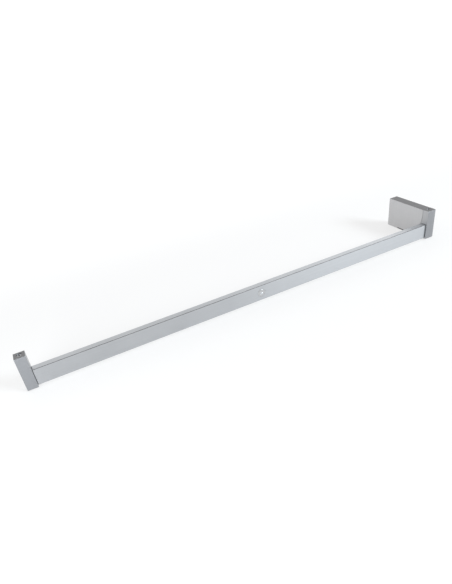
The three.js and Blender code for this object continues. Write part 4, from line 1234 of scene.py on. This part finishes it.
def product(tree, a, b):
    return add(tree, "Math", {0: a, 1: b}, operation="MULTIPLY").outputs[0]


def split(tree, coordinates):
    """The X, Y and Z of texture coordinates, as a node's outputs."""
    return add(tree, "SeparateXYZ", {0: add(tree, "TexCoord").outputs[coordinates]}).outputs


def make_floor():
    top = cad_box[0].z - FLOOR_GAP
    half = FLOOR_SIZE / 2
    slab = prism(rectangle(-half, -half, half, half), "Z", top - FLOOR_THICKNESS, top)
    floor = as_object("floor", slab)
    paper = bpy.data.materials.new("floor_paper")
    paper.use_nodes = True
    tree = paper.node_tree
    shader = tree.nodes["Principled BSDF"]
    shader.inputs["Base Color"].default_value = (FLOOR_TONE, FLOOR_TONE, FLOOR_TONE, 1)
    shader.inputs["Roughness"].default_value = FLOOR_ROUGHNESS
    shader.inputs["Specular IOR Level"].default_value = 0.0
    shader.inputs["Emission Color"].default_value = (1, 1, 1, 1)
    glow = fade(tree, split(tree, "Object")["Y"], GLOW_FROM, GLOW_TO, FLOOR_GLOW, FAR_GLOW)
    tree.links.new(glow, shader.inputs["Emission Strength"])
    floor.data.materials.append(paper)


def soft_light(name, location, target, size, power, colour):
    lamp = bpy.data.lights.new(name, "AREA")
    lamp.shape = "RECTANGLE"
    lamp.size, lamp.size_y = size
    lamp.energy = power
    lamp.color = colour
    made = bpy.data.objects.new(name, lamp)
    bpy.context.scene.collection.objects.link(made)
    made.location = location
    made.rotation_mode = "QUATERNION"
    made.rotation_quaternion = (target - Vector(location)).to_track_quat("-Z", "Y")


def make_sky():
    """A pale sky, brighter low down at the back and a little brighter to the left."""
    world = bpy.data.worlds.new("studio")
    bpy.context.scene.world = world
    world.use_nodes = True
    tree = world.node_tree
    direction = split(tree, "Generated")
    band = fade(tree, direction["Z"], *BAND_FADE, 1.0, 0.0)
    back = fade(tree, direction["Y"], *BACK_FADE, 0.0, 1.0)
    left = fade(tree, direction["X"], *LEFT_FADE, 1.0, 0.0)
    strength = weighted(tree, SKY_DIM, [(product(tree, band, back), SKY_BACK), (left, SKY_LEFT)])
    background = tree.nodes["Background"]
    background.inputs["Color"].default_value = (1, 1, 1, 1)
    tree.links.new(strength, background.inputs["Strength"])


make_floor()
bar_centre = (cad_box[0] + cad_box[1]) / 2
key_place = bar_centre + KEY_DISTANCE * KEY_DIRECTION
soft_light("key", key_place, bar_centre, KEY_SIZE, KEY_POWER, KEY_COLOUR)
soft_light("left_fill", FILL_PLACE, LEFT_HIGH * MM, FILL_SIZE, FILL_POWER, FILL_COLOUR)
make_sky()

CAMERA_PLACE = Vector((-0.8786, -0.8639, 0.4993))
CAMERA_TARGET = Vector((-0.5722, -0.126, 0.0175))
CAMERA_ROLL = math.radians(-7.9)
CAMERA_LENS = 27.76
NEAREST, FURTHEST = 0.01, 100  # what the camera sees

camera_data = bpy.data.cameras.new("camera")
camera_data.lens = CAMERA_LENS
camera_data.clip_start = NEAREST
camera_data.clip_end = FURTHEST
camera = bpy.data.objects.new("camera", camera_data)
bpy.context.scene.collection.objects.link(camera)
camera.location = CAMERA_PLACE
camera.rotation_mode = "QUATERNION"
level = (CAMERA_TARGET - CAMERA_PLACE).to_track_quat("-Z", "Y")
camera.rotation_quaternion = level @ Quaternion((0, 0, 1), CAMERA_ROLL)
bpy.context.scene.camera = camera
bpy.context.scene.view_settings.view_transform = "Standard"
